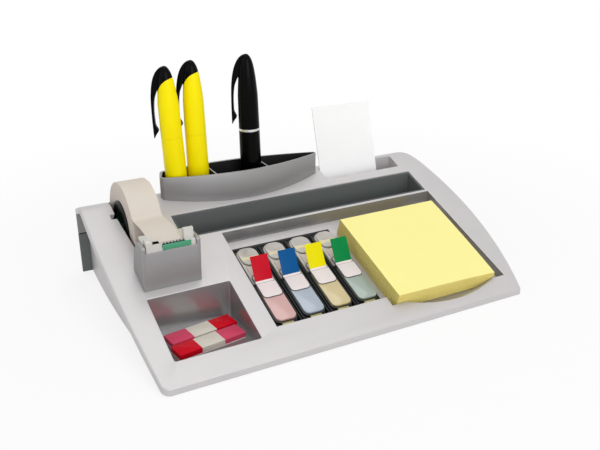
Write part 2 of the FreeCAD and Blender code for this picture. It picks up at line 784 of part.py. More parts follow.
def cutter_saddle():
    """Pale landing plate for the tape with a post at each end and a small front block."""
    x0 = CUTTER_LEFT + CUTTER_ARM + FIT
    x1 = CUTTER_RIGHT - CUTTER_ARM - FIT
    y0 = saddle_front()
    y1 = y0 + SADDLE_REACH
    lift = SADDLE_THICKNESS
    plate = [(y0, bed_height(y0), 0.0), (y1, bed_height(y1), 0.0),
             (y1, bed_height(y1) + lift, 0.0), (y0, bed_height(y0) + lift, 0.0)]
    parts = [
        bed_block(x0, x0 + LEFT_POST_WIDTH, y0, y0 + POST_DEPTH, LEFT_POST_TOP, 1.2),
        bed_block(x1 - RIGHT_POST_WIDTH, x1, y0, y0 + POST_DEPTH, RIGHT_POST_TOP, 1.2),
        bed_block(x0, BLOCK_RIGHT, y0, y0 + BLOCK_DEPTH, BLOCK_TOP, 0.6),
    ]
    return one_solid(side_prism(plate, x0, x1).fuse(parts))


def blade_span():
    """Left and right ends of the gap between the front block and the right post."""
    right = CUTTER_RIGHT - CUTTER_ARM - FIT - RIGHT_POST_WIDTH
    return BLOCK_RIGHT, right


def cutter_blade():
    """Toothed steel strip that stands on the saddle behind the guard."""
    x0, x1 = blade_span()
    x0, x1 = x0 + 0.1, x1 - 0.1
    y = saddle_front() + 0.3
    foot = bed_height(y + BLADE_THICKNESS) + SADDLE_THICKNESS
    count = int((x1 - x0) / BLADE_PITCH)
    points = [Vector(x0, y, foot)]
    step = (x1 - x0) / count
    for i in range(count):
        points.append(Vector(x0 + step * i, y, BLADE_TOP - BLADE_TOOTH))
        points.append(Vector(x0 + step * (i + 0.5), y, BLADE_TOP))
    points.append(Vector(x1, y, BLADE_TOP - BLADE_TOOTH))
    points.append(Vector(x1, y, foot))
    points.append(points[0])
    face = Part.Face(Part.makePolygon(points))
    return face.extrude(Vector(0, BLADE_THICKNESS, 0))


def blade_guard():
    """Green strip along the saddle's front edge."""
    x0, x1 = blade_span()
    y = saddle_front()
    return box(x0, x1, y - GUARD_THICKNESS, y, GUARD_BOTTOM, GUARD_TOP)


# ---------------------------------------------------------------- tape
def ring(outer, inner, x0, x1):
    axis = Vector(1, 0, 0)
    at = Vector(x0, SPOOL_Y, SPOOL_Z)
    disc = Part.makeCylinder(outer, x1 - x0, at, axis)
    return disc.cut(Part.makeCylinder(inner, x1 - x0, at, axis))


def tape_roll():
    return ring(TAPE_RADIUS, CORE_RADIUS, TAPE_LEFT, TAPE_LEFT + TAPE_WIDTH)


def tape_core():
    return ring(CORE_RADIUS, CORE_RADIUS - CORE_THICKNESS, TAPE_LEFT, TAPE_LEFT + TAPE_WIDTH)


def tape_hub():
    """Hollow spool inside the core, with a flange, a web and two short pins."""
    outer = CORE_RADIUS - CORE_THICKNESS
    x0, x1 = TAPE_LEFT, TAPE_LEFT + TAPE_WIDTH
    drum = ring(outer, outer - HUB_THICKNESS, x0, x1)
    web = ring(outer, HUB_PIN_RADIUS, x0 + 8.0, x0 + 10.0)
    flange = ring(HUB_FLANGE_RADIUS, outer - HUB_THICKNESS, x0 - HUB_FLANGE_THICKNESS, x0)
    axis = Vector(1, 0, 0)
    start = POCKET_LEFT - PIN_REACH
    end = POCKET_RIGHT + PIN_REACH
    pin = Part.makeCylinder(HUB_PIN_RADIUS, end - start, Vector(start, SPOOL_Y, SPOOL_Z), axis)
    return one_solid(drum.fuse([web, flange, pin]))


def tape_lead():
    """Free end of the tape: flat on the saddle, then straight up to the roll's top."""
    start = saddle_front() + BLOCK_DEPTH + FIT
    bend = saddle_front() + SADDLE_REACH
    start_z = bed_height(start) + SADDLE_THICKNESS
    z = bed_height(bend) + SADDLE_THICKNESS
    dy = SPOOL_Y - bend
    dz = SPOOL_Z - z
    reach = math.hypot(dy, dz)
    radius = TAPE_RADIUS + FIT
    angle = math.atan2(dz, dy) + math.asin(radius / reach)
    length = math.sqrt(reach ** 2 - radius ** 2)
    end_y = bend + length * math.cos(angle)
    end_z = z + length * math.sin(angle)
    lift = TAPE_THICKNESS
    corners = [
        (start, start_z, 0.0),
        (bend, z, 0.0),
        (end_y, end_z, 0.0),
        (end_y - lift * math.sin(angle), end_z + lift * math.cos(angle), 0.0),
        (bend, z + lift, 0.0),
        (start, start_z + lift, 0.0),
    ]
    return side_prism(corners, TAPE_LEFT, TAPE_LEFT + TAPE_WIDTH)


# ---------------------------------------------------------------- pen cup
def cup_body(inset, z0, z1):
    """Eye-shaped column, blunt at the left and pointed at the right."""
    left = CUP_LEFT + inset
    right = CUP_RIGHT - inset * 1.6
    front = CUP_FRONT_Y + inset
    back = CUP_BACK_Y - inset
    a = Vector(left, CUP_TIP_Y - 1.5 + inset * 0.4, z0)
    b = Vector(right, CUP_TIP_Y, z0)
    c = Vector(CUP_BACK_LEFT_X + inset, back, z0)
    front_middle = Vector(CUP_LOW_X, front, z0)
    back_middle = Vector(CUP_DIVIDERS[1], back + 0.2, z0)
    edges = [
        Part.Arc(a, front_middle, b).toShape(),
        Part.Arc(b, back_middle, c).toShape(),
        Part.makeLine(c, a),
    ]
    prism = Part.Face(Part.Wire(edges)).extrude(Vector(0, 0, z1 - z0))
    for corner, radius in ((a, 3.0), (b, 2.0), (c, 4.0)):
        prism = fillet_upright(prism, corner, max(radius - inset * 0.5, 0.6))
    return prism


def pen_cup():
    """Cup whose lower part passes through the deck; a step rests on the deck."""
    upper = cup_body(0.0, CUP_FLOOR, CUP_RIM).cut(under_deck(0.0, 0.0))
    lower = cup_body(CUP_STEP, CUP_FLOOR - CUP_WALL, CUP_RIM)
    inner = cup_body(CUP_STEP + CUP_WALL, CUP_FLOOR, CUP_RIM + 1.0)
    cup = upper.fuse(lower).cut(inner)
    for x in CUP_DIVIDERS:
        wall = box(x - 0.7, x + 0.7, CUP_FRONT_Y - 5, CUP_BACK_Y + 5, CUP_FLOOR - 0.5, CUP_DIVIDER_TOP)
        cup = cup.fuse(wall.common(cup_body(CUP_STEP + 0.5, CUP_FLOOR - 0.5, CUP_RIM)))
    return one_solid(cup)


# ---------------------------------------------------------------- drawer
def drawer_box():
    """Open tray with one partition."""
    y1 = wall_back()
    outer = box(DRAWER_LEFT, DRAWER_RIGHT, DRAWER_FRONT_END, y1, DRAWER_BOTTOM, DRAWER_TOP)
    wall = DRAWER_WALL
    floor = DRAWER_BOTTOM + DRAWER_FLOOR
    half = DRAWER_WALL / 2.0
    cells = [
        plan_block(rectangle(DRAWER_LEFT + wall, PARTITION_X - half,
                             DRAWER_FRONT_END + wall, y1 - wall, 2.0), floor, DRAWER_TOP + 1.0),
        plan_block(rectangle(PARTITION_X + half, DRAWER_RIGHT - wall,
                             DRAWER_FRONT_END + wall, y1 - wall, 2.0), floor, DRAWER_TOP + 1.0),
    ]
    return one_solid(outer.cut(cells))


def drawer_front():
    """Wide front panel at the organizer's back, under the fixed plate, with a pull lip."""
    plate = box(SPAN_LEFT, PANEL_RIGHT, wall_back(), BACK_Y, FOOT_HEIGHT,
                DRAWER_SEAM_Z - DRAWER_GAP)
    panel = outer_prism(0.0, CUT_REACH).common(plate)
    lip = plan_block([(PULL_LEFT, BACK_Y - 0.5, 0.0), (PULL_LEFT, BACK_Y + PULL_DEPTH, 1.5),
                      (PULL_RIGHT, BACK_Y + PULL_DEPTH, 1.5), (PULL_RIGHT, BACK_Y - 0.5, 0.0)],
                     PULL_Z, PULL_Z + PULL_HEIGHT)
    return one_solid(panel.fuse(lip))


def drawer_runner(x0, x1):
    """Low rail on the cover that the drawer slides on and is kept straight by."""
    z0 = FOOT_HEIGHT + COVER_THICKNESS
    rail = box(x0, x1, DRAWER_FRONT_END, wall_back() - 1.0, z0, DRAWER_BOTTOM + 8.0)
    return rail


# ---------------------------------------------------------------- refills
def tilt(shape, y, z, angle):
    """Turn a shape about the X direction line through (y, z)."""
    shape.rotate(Vector(0, y, z), Vector(1, 0, 0), angle)
    return shape


def note_pad():
    z = recess_height(PAD_FRONT)
    pad = box(PAD_LEFT, PAD_LEFT + PAD_SIDE, PAD_FRONT, PAD_FRONT + PAD_SIDE, z, z + PAD_THICKNESS)
    return tilt(pad, PAD_FRONT, z, RECESS_SLOPE)


def case_floor():
    return recess_height(CASE_FRONT) - PIT_DEPTH + INSERT_THICKNESS


def flag_case(index):
    """Flat case with a rounded back end."""
    x = bay_centre(index)
    z = case_floor()
    half = CASE_WIDTH / 2.0
    corners = [
        (x - half, CASE_FRONT, 1.0),
        (x + half, CASE_FRONT, 1.0),
        (x + half, CASE_FRONT + CASE_LENGTH, CASE_END_ROUND),
        (x - half, CASE_FRONT + CASE_LENGTH, CASE_END_ROUND),
    ]
    case = plan_block(corners, z, z + CASE_THICKNESS)
    return tilt(case, CASE_FRONT, z, RECESS_SLOPE)


def flag_tab(index):
    """Strip that lies on the case and stands up from its slot."""
    x = bay_centre(index) - TAB_WIDTH / 2.0 - 0.3
    y = TAB_Y
    surface = case_floor() + CASE_THICKNESS / math.cos(math.radians(RECESS_SLOPE))
    z = surface + tan(RECESS_SLOPE) * (y - CASE_FRONT)
    slope = tan(RECESS_SLOPE)
    t = TAB_THICKNESS
    corners = [
        (y - TAB_FOOT, z - slope * TAB_FOOT, 0.0),
        (y, z, 0.0),
        (y, z + TAB_HEIGHT, 0.0),
        (y - t, z + TAB_HEIGHT, 0.0),
        (y - t, z - slope * t + t, 0.0),
        (y - TAB_FOOT, z - slope * TAB_FOOT + t, 0.0),
    ]
    return side_prism(corners, x, x + TAB_WIDTH)


def marker_strip(place):
    """Three small blocks of sheets on one backing strip."""
    x, y = place
    half = MARKER_LENGTH / 2.0
    z = SQUARE_FLOOR
    strip = box(x - half, x + half, y - MARKER_WIDTH / 2.0, y + MARKER_WIDTH / 2.0,
                z, z + MARKER_THICKNESS)
    third = MARKER_LENGTH / 3.0
    for i in (1, 2):
        at = x - half + third * i
        groove = box(at - MARKER_GROOVE / 2.0, at + MARKER_GROOVE / 2.0, y - MARKER_WIDTH,
                     y + MARKER_WIDTH, z + 0.6, z + MARKER_THICKNESS + 1.0)
        strip = strip.cut(groove)
    strip.rotate(Vector(x, y, 0), Vector(0, 0, 1), MARKER_TURN)
    return strip


def index_card():
    """Card that stands on the slot's floor and leans on the slot's rear edge."""
    z = SLOT_FLOOR
    card = box(CARD_LEFT, CARD_LEFT + CARD_WIDTH, CARD_Y, CARD_Y + CARD_THICKNESS,
               z, z + CARD_HEIGHT)
    card = tilt(card, CARD_Y, z, -CARD_LEAN)
    card.translate(Vector(0, 0, CARD_THICKNESS * math.sin(math.radians(CARD_LEAN))))
    return card


def revolve(points, arc_points=None):
    """Turn an (r, z) outline about the Z axis; an arc may close it at the top."""
    spots = [Vector(r, 0, z) for r, z in points]
    edges = [Part.makeLine(a, b) for a, b in zip(spots, spots[1:])]
    last = spots[-1]
    if arc_points:
        middle, end = (Vector(r, 0, z) for r, z in arc_points)
        edges.append(Part.Arc(last, middle, end).toShape())
        last = end
    edges.append(Part.makeLine(last, spots[0]))
    return Part.Face(Part.Wire(edges)).revolve(Vector(0, 0, 0), Vector(0, 0, 1), 360)


def stand(shape, place):
    """Turn a pen's piece to its clip's direction, lean it and set it in the cup."""
    x, y, lean = place
    shape.rotate(Vector(0, 0, 0), Vector(0, 0, 1), CLIP_TURN)
    shape.rotate(Vector(0, 0, 0), Vector(0, 1, 0), -lean)
    lift = PEN_RADIUS * math.sin(math.radians(lean))
    shape.translate(Vector(x, y, CUP_FLOOR + lift))
    return shape


def pen_barrel(ring_height=0.0):
    """Barrel with the narrow neck that the cap slides over."""
    joint = PEN_JOINT - ring_height
    neck = PEN_WAIST_RADIUS - CAP_WALL - 0.05
    return revolve([(0.0, 0.0), (PEN_RADIUS - 0.7, 0.0), (PEN_RADIUS, 0.9), (PEN_RADIUS, PEN_STRAIGHT),
                    (PEN_WAIST_RADIUS, joint), (neck, joint),
                    (neck, PEN_JOINT + PEN_NECK - 0.5), (0.0, PEN_JOINT + PEN_NECK - 0.5)])


def pen_ring():
    """Bright ring between the black pen's barrel and its cap."""
    neck = PEN_WAIST_RADIUS - CAP_WALL - 0.05
    low = PEN_JOINT - RING_HEIGHT
    return revolve([(neck, low), (PEN_WAIST_RADIUS, low), (PEN_WAIST_RADIUS, PEN_JOINT),
                    (neck, PEN_JOINT)])


def cap_outline(rise):
    """Closed cap, hollow over the barrel's neck, tapering to a rounded top."""
    inner = PEN_WAIST_RADIUS - CAP_WALL
    top = PEN_TOP + rise
    middle = (PEN_SHOULDER_RADIUS - CHEEK_IN, top - CHEEK_DROP)
    return revolve([(0.0, PEN_JOINT + PEN_NECK), (inner, PEN_JOINT + PEN_NECK), (inner, PEN_JOINT),
                    (PEN_WAIST_RADIUS, PEN_JOINT), (PEN_SHOULDER_RADIUS, PEN_SHOULDER)],
                   (middle, (0.0, top)))


def above_seam(rise):
    """Half space above the crown's slanting seam; the clip points along -X."""
    run = PEN_RADIUS * 2.0
    angle = math.degrees(math.atan2(CROWN_RISE, CROWN_RUN))
    block = Part.makeBox(8 * run, 8 * run, 8 * run, Vector(-4 * run, -4 * run, 0))
    block.rotate(Vector(0, 0, 0), Vector(0, 1, 0), -angle)
    block.translate(Vector(0, 0, (CROWN_HIGH + CROWN_LOW) / 2.0 + rise))
    return block


def pen_cap(rise=0.0):
    return one_solid(cap_outline(rise).cut(above_seam(rise)))


def pen_crown(rise=0.0):
    """Rounded crown and the spring clip that hangs from it."""
    crown = cap_outline(rise).common(above_seam(rise))
    corners = [(-s, PEN_TOP - drop + rise, radius) for s, drop, radius in CLIP_OUTLINE]
    wire = rounded_wire(corners, lambda u, z: Vector(u, -CLIP_WIDTH / 2.0, z))
    arm = Part.Face(wire).extrude(Vector(0, CLIP_WIDTH, 0))
    body = revolve([(0.0, 0.0), (PEN_WAIST_RADIUS, 0.0), (PEN_WAIST_RADIUS, PEN_JOINT),
                    (PEN_SHOULDER_RADIUS, PEN_SHOULDER), (0.0, PEN_SHOULDER)])
    arm = arm.cut([pen_cap(rise), body])
    return one_solid(crown.fuse(arm))


# ---------------------------------------------------------------- build
def build_body():
    save(top_shell(), "top_shell")
    save(base_cover(), "base_cover")
    save(cover_screws(), "cover_screws")
    save(ballast_plate(), "ballast_plate")
    save(tray_liner(), "tray_liner")
    save(index_insert(), "index_insert")
    save(pen_cup(), "pen_cup")
    for name, x, y in foot_places():
        save(foot(x, y), name)


def build_cutter():
    save(cutter_housing(), "cutter_housing")
    save(cutter_saddle(), "cutter_saddle")
    save(cutter_blade(), "cutter_blade")
    save(blade_guard(), "blade_guard")
    save(tape_lead(), "tape_lead")


def build_spool():
    save(tape_hub(), "tape_hub")
    save(tape_core(), "tape_core")
    save(tape_roll(), "tape_roll")


def build_drawer():
    save(drawer_box(), "drawer_box")
    save(drawer_front(), "drawer_front")
    gap = RUNNER_GAP
    save(drawer_runner(DRAWER_LEFT - gap - RUNNER_WIDTH, DRAWER_LEFT - gap), "runner_left")
    save(drawer_runner(DRAWER_RIGHT + gap, DRAWER_RIGHT + gap + RUNNER_WIDTH), "runner_right")


def build_refills():
    save(note_pad(), "note_pad")
    for index in range(CASE_COUNT):
        save(flag_case(index), "flag_case_%d" % (index + 1))
        save(flag_tab(index), "flag_tab_%d" % (index + 1))
    save(marker_strip(MARKER_CENTRES[0]), "marker_strip_back")
    save(marker_strip(MARKER_CENTRES[1]), "marker_strip_front")
    save(index_card(), "index_card")


def build_pens():
    for index, place in enumerate(HIGHLIGHTERS):
        name = "highlighter_%d" % (index + 1)
        save(stand(pen_barrel(), place), name + "_barrel")
        save(stand(pen_cap(), place), name + "_cap")
        save(stand(pen_crown(), place), name + "_crown")
    save(stand(pen_barrel(RING_HEIGHT), BLACK_PEN), "black_pen_barrel")
    save(stand(pen_ring(), BLACK_PEN), "black_pen_ring")
    save(stand(pen_cap(BLACK_PEN_RISE), BLACK_PEN), "black_pen_cap")
    save(stand(pen_crown(BLACK_PEN_RISE), BLACK_PEN), "black_pen_crown")


build_body()
build_cutter()
build_spool()
build_drawer()
build_refills()
build_pens()
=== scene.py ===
"""Desk organizer with tape dispenser: the visual model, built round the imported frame.

Lengths in the classes are millimetres in the frame's own axes: X to the right, Y to the
back, Z up, origin on the desk under the middle of the organizer.
"""

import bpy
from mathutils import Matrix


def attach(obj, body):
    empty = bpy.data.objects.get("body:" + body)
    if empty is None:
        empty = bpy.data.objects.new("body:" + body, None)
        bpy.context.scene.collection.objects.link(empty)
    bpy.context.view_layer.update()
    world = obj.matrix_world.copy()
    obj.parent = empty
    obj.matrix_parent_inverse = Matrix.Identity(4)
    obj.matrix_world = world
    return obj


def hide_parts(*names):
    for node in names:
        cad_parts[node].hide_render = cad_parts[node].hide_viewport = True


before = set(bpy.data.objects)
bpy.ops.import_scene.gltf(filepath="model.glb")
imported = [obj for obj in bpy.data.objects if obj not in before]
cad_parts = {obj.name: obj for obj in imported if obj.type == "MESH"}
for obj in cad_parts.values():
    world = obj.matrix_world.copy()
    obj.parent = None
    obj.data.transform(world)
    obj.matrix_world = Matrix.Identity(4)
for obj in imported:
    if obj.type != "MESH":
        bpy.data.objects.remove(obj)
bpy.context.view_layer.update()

import logging
import math
from contextlib import contextmanager
from dataclasses import dataclass
from enum import Enum
from typing import Callable, Dict, Iterator, List, Optional, Sequence, Tuple

import bmesh
import bpy
from mathutils import Matrix, Vector

LOG = logging.getLogger("desk_organizer")
MM = 0.001
RECESS_SLOPE = 18.06        # degrees that the sunken recess climbs towards the back
UPRIGHT = 0.5               # a face whose normal rises or falls less than this is a wall
HAIR = 0.02                 # too small a distance to matter where a face's place is tested
WHITE = (1.0, 1.0, 1.0, 1.0)

Piece = bpy.types.Object
Mesh = bmesh.types.BMesh
Tree = bpy.types.NodeTree
Node = bpy.types.Node
Socket = bpy.types.NodeSocket
Triple = Tuple[float, float, float]
Pair = Tuple[float, float]
Rule = Callable[[Vector, Vector], int]      # a face's centre in mm and normal to its finish


# ---------------------------------------------------------------- mesh helpers
def select_only(piece: Piece) -> None:
    """Deselect everything, then select one object and make it active."""
    bpy.ops.object.select_all(action="DESELECT")
    piece.select_set(True)
    bpy.context.view_layer.objects.active = piece


@contextmanager
def editing(piece: Piece) -> Iterator[Mesh]:
    """Open a piece in edit mode and leave it again afterwards.

    Args:
        piece: The mesh object to edit.

    Returns:
        Its edit mesh, with nothing selected.
    """
    select_only(piece)
    bpy.ops.object.mode_set(mode="EDIT")
    bpy.ops.mesh.select_all(action="DESELECT")
    try:
        yield bmesh.from_edit_mesh(piece.data)
    finally:
        bpy.ops.object.mode_set(mode="OBJECT")


def apply_modifier(piece: Piece, kind: str, **settings: object) -> None:
    """Add a modifier with its settings and apply it.

    Args:
        piece: The object it works on.
        kind: The modifier's type.
        settings: Its properties.
    """
    select_only(piece)
    modifier = piece.modifiers.new(kind.title(), kind)
    for name, value in settings.items():
        setattr(modifier, name, value)
    bpy.ops.object.modifier_apply(modifier=modifier.name)


def carve(piece: Piece, tool: Piece, operation: str = "DIFFERENCE", keep: bool = False) -> None:
    """Cut a piece with a tool, or fuse the two.

    Args:
        piece: The piece that changes.
        tool: The other solid.
        operation: DIFFERENCE, UNION or INTERSECT.
        keep: Whether the tool is needed again; otherwise it is removed.
    """
    apply_modifier(piece, "BOOLEAN", operation=operation, object=tool, solver="EXACT")
    if not keep:
        bpy.data.objects.remove(tool)


def smooth(piece: Piece, angle: float = 35.0) -> None:
    """Shade a piece smooth except across edges sharper than an angle in degrees."""
    select_only(piece)
    bpy.ops.object.shade_smooth_by_angle(angle=math.radians(angle))


def soften(piece: Piece, width: float, segments: int = 2, angle: float = 40.0) -> None:
    """Round a piece's sharp edges.

    Args:
        piece: The piece.
        width: Width of the rounding in millimetres.
        segments: Steps across the rounding.
        angle: Only edges sharper than this many degrees are rounded.
    """
    apply_modifier(piece, "BEVEL", width=width * MM, segments=segments, limit_method="ANGLE",
                   angle_limit=math.radians(angle), use_clamp_overlap=False,
                   miter_outer="MITER_ARC", harden_normals=False)
    smooth(piece)


def subdivide(piece: Piece, cuts: int) -> None:
    """Divide every face of a piece by so many cuts each way."""
    with editing(piece):
        bpy.ops.mesh.select_all(action="SELECT")
        bpy.ops.mesh.subdivide(number_cuts=cuts)


def tilted(at: Sequence[float], degrees: float, axis: str = "X") -> Matrix:
    """A turn about an axis through the origin, then a move in millimetres."""
    return Matrix.Translation(Vector(at) * MM) @ Matrix.Rotation(math.radians(degrees), 4, axis)


def place(piece: Piece, matrix: Matrix) -> None:
    """Move a piece's mesh, not its object, by a matrix in metres."""
    piece.data.transform(matrix)
    piece.data.update()


def rename(piece: Piece, name: str) -> Piece:
    """Name a piece and its mesh alike."""
    piece.name = name
    piece.data.name = name
    return piece


def primitive(kind: str, name: str, **settings: object) -> Piece:
    """Add a mesh primitive and put its place and scale into its mesh.

    Args:
        kind: The primitive, such as cube or plane.
        name: The piece's name.
        settings: The operator's settings.

    Returns:
        The new piece, its object at the origin.
    """
    bpy.ops.object.select_all(action="DESELECT")
    getattr(bpy.ops.mesh, f"primitive_{kind}_add")(**settings)
    piece = rename(bpy.context.object, name)
    select_only(piece)
    bpy.ops.object.transform_apply(location=True, rotation=True, scale=True)
    return piece


def copy_piece(piece: Piece, name: str) -> Piece:
    """Copy a piece with a mesh of its own."""
    twin = bpy.data.objects.new(name, piece.data.copy())
    bpy.context.scene.collection.objects.link(twin)
    return twin


def join(pieces: Sequence[Piece], name: str) -> Piece:
    """Join pieces into the first one.

    Args:
        pieces: The pieces.
        name: The name of what they make.

    Returns:
        The first piece, with the others in it.
    """
    select_only(pieces[0])
    for piece in pieces:
        piece.select_set(True)
    bpy.ops.object.join()
    return rename(pieces[0], name)


def node_copy(node: str, name: str, crease: float = 0.5) -> Piece:
    """Copy a CAD node's mesh, merge its loose triangles and join its flat faces.

    Args:
        node: The CAD node.
        name: The new piece's name.
        crease: Faces that meet at less than this many degrees are joined.

    Returns:
        The new piece.
    """
    piece = copy_piece(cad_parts[node], name)
    piece.data.materials.clear()
    with editing(piece):
        bpy.ops.mesh.select_all(action="SELECT")
        bpy.ops.mesh.remove_doubles(threshold=0.004 * MM)
        bpy.ops.mesh.customdata_custom_splitnormals_clear()
        if crease > 0.0:
            bpy.ops.mesh.dissolve_limited(angle_limit=math.radians(crease))
    return piece


class Ends(Enum):
    """Which upright corners of a block are rounded."""

    ALL = 0
    FRONT = -1
    REAR = 1


def slab(name: str, low: Triple, high: Triple, corner: float = 0.0, edge: float = 0.0,
         ends: Ends = Ends.ALL) -> Piece:
    """Model a flat block with rounded corners and softened edges.

    Args:
        name: The piece's name.
        low: Lowest corner in millimetres.
        high: Highest corner in millimetres.
        corner: Radius of the upright corners.
        edge: Rounding of all other edges.
        ends: Which upright corners are rounded.

    Returns:
        The block.
    """
    size = [top - bottom for bottom, top in zip(low, high)]
    middle = [(top + bottom) / 2.0 for bottom, top in zip(low, high)]
    piece = primitive("cube", name, size=1.0, location=[value * MM for value in middle],
                      scale=[value * MM for value in size])
    if corner > 0.0:
        with editing(piece):
            bpy.ops.mesh.select_mode(type="EDGE")
            for line in bmesh.from_edit_mesh(piece.data).edges:
                first, second = (end.co / MM for end in line.verts)
                upright = abs(first.z - second.z) > 0.9 * size[2]
                line.select_set(upright and ends.value * (first.y - middle[1]) >= 0.0)
            bmesh.update_edit_mesh(piece.data)
            bpy.ops.mesh.bevel(offset=corner * MM, segments=6, affect="EDGES",
                               clamp_overlap=False)
    if edge > 0.0:
        soften(piece, edge, 2, 50.0)
    else:
        smooth(piece)
    return piece


@contextmanager
def drawing(name: str) -> Iterator[Tuple[Piece, Mesh]]:
    """Add an empty piece, open it in edit mode and close it with its faces outward.

    Args:
        name: The piece's name.

    Returns:
        The piece and its edit mesh, for the caller to fill.
    """
    piece = primitive("plane", name, size=MM)
    with editing(piece) as mesh:
        bmesh.ops.delete(mesh, geom=list(mesh.verts), context="VERTS")
        yield piece, mesh
        bpy.ops.mesh.select_all(action="SELECT")
        bpy.ops.mesh.normals_make_consistent(inside=False)


def lathe(name: str, outline: Sequence[Pair], steps: int = 56) -> Piece:
    """Spin an outline about the Z axis.

    Args:
        name: The piece's name.
        outline: Points as (radius, height) in millimetres, from the foot up and outside first.
        steps: Steps round the axis.

    Returns:
        A closed turned piece.
    """
    with drawing(name) as (piece, mesh):
        spots = [mesh.verts.new((radius * MM, 0.0, height * MM)) for radius, height in outline]
        for ends in zip(spots, spots[1:]):
            mesh.edges.new(ends)
        bmesh.update_edit_mesh(piece.data)
        bpy.ops.mesh.select_all(action="SELECT")
        bpy.ops.mesh.spin(steps=steps, angle=2.0 * math.pi, center=(0.0, 0.0, 0.0),
                          axis=(0.0, 0.0, 1.0))
        bpy.ops.mesh.select_all(action="SELECT")
        bpy.ops.mesh.remove_doubles(threshold=0.002 * MM)
    smooth(piece)
    return piece


def flow(stations: Sequence[Sequence[float]], steps: int) -> List[List[float]]:
    """Draw a smooth curve through stations.

    Args:
        stations: What the curve passes through; each holds the same number of values.
        steps: Steps from each to the next.

    Returns:
        Evenly spaced stations, the first and the last as given.
    """
    whole = [stations[0], *stations, stations[-1]]
    curve = []
    for a, b, c, d in zip(whole, whole[1:], whole[2:], whole[3:]):
        for step in range(steps):
            t = step / steps
            curve.append([0.5 * (2.0 * q + (r - p) * t + (2.0 * p - 5.0 * q + 4.0 * r - s) * t * t
                                 + (3.0 * q - p - 3.0 * r + s) * t ** 3)
                          for p, q, r, s in zip(a, b, c, d)])
    return curve + [list(stations[-1])]


def ribbon(name: str, stations: Sequence[Sequence[float]]) -> Piece:
    """Model a bent bar from its outer and inner face.

    Args:
        name: The piece's name.
        stations: Outer x and z, inner x and z and half the width, in millimetres.

    Returns:
        The bar, whose width runs along Y.
    """
    with drawing(name) as (bar, mesh):
        rows = []
        for outer_x, outer_z, inner_x, inner_z, half in stations:
            corners = ((outer_x, -half, outer_z), (inner_x, -half, inner_z),
                       (inner_x, half, inner_z), (outer_x, half, outer_z))
            rows.append([mesh.verts.new(Vector(corner) * MM) for corner in corners])
        for upper, lower in zip(rows, rows[1:]):
            for corner in range(4):
                following = (corner + 1) % 4
                mesh.faces.new((upper[corner], upper[following], lower[following], lower[corner]))
        mesh.faces.new(rows[0][::-1])
        mesh.faces.new(rows[-1])
        bmesh.update_edit_mesh(bar.data)
    return bar


# ---------------------------------------------------------------- material helpers
def linear(colour: str) -> Tuple[float, float, float, float]:
    """Turn an sRGB colour into linear light.

    Args:
        colour: The colour as "#RRGGBB".

    Returns:
        Linear red, green, blue and an alpha of 1.
    """
    parts = [int(colour[start:start + 2], 16) / 255.0 for start in (1, 3, 5)]
    red, green, blue = (value / 12.92 if value <= 0.04045 else ((value + 0.055) / 1.055) ** 2.4
                        for value in parts)
    return red, green, blue, 1.0


def set_inputs(node: Node, values: Dict[object, object]) -> None:
    """Set a node's inputs.

    Args:
        node: The node.
        values: A value or another node's socket for each input, by name or index.
    """
    for name, value in values.items():
        if isinstance(value, Socket):
            node.id_data.links.new(value, node.inputs[name])
        else:
            node.inputs[name].default_value = value


def add_node(tree: Tree, kind: str, inputs: Optional[Dict[object, object]] = None,
             **settings: object) -> Node:
    """Add a node.

    Args:
        tree: The node tree.
        kind: The node's type name.
        inputs: A value or a socket for each input, by name or index.
        settings: Properties of the node.

    Returns:
        The new node.
    """
    node = tree.nodes.new(kind)
    for name, value in settings.items():
        setattr(node, name, value)
    set_inputs(node, inputs or {})
    return node


def per_metre(millimetres: float) -> float:
    """Texture scale whose features are about this many millimetres across."""
    return 1.0 / (millimetres * MM)


def object_space(tree: Tree, **mapping: Triple) -> Socket:
    """Object coordinates, so that a texture keeps its size on every piece.

    Args:
        tree: The material's tree.
        mapping: Scale or Location to map them by.

    Returns:
        The vector socket.
    """
    space = add_node(tree, "ShaderNodeTexCoord").outputs["Object"]
    if mapping:
        space = add_node(tree, "ShaderNodeMapping", {"Vector": space, **mapping}).outputs[0]
    return space


def noise(space: Socket, size: float, detail: float) -> Socket:
    """Noise with features so many millimetres across, as a factor."""
    return add_node(space.id_data, "ShaderNodeTexNoise",
                    {"Vector": space, "Scale": per_metre(size), "Detail": detail}).outputs["Fac"]


def relief(shader: Node, height: Socket, strength: float, depth: float) -> None:
    """Raise a shader's surface by a texture.

    Args:
        shader: The principled shader.
        height: The texture's factor.
        strength: How far the normals follow it.
        depth: Its height in millimetres.
    """
    bump = add_node(shader.id_data, "ShaderNodeBump",
                    {"Height": height, "Strength": strength, "Distance": depth * MM})
    set_inputs(shader, {"Normal": bump.outputs["Normal"]})


class Grain(Enum):
    """Size in millimetres of the texture that a mould leaves on plastic."""

    SPARK = 0.45
    SATIN = 0.30
    POLISH = 2.50


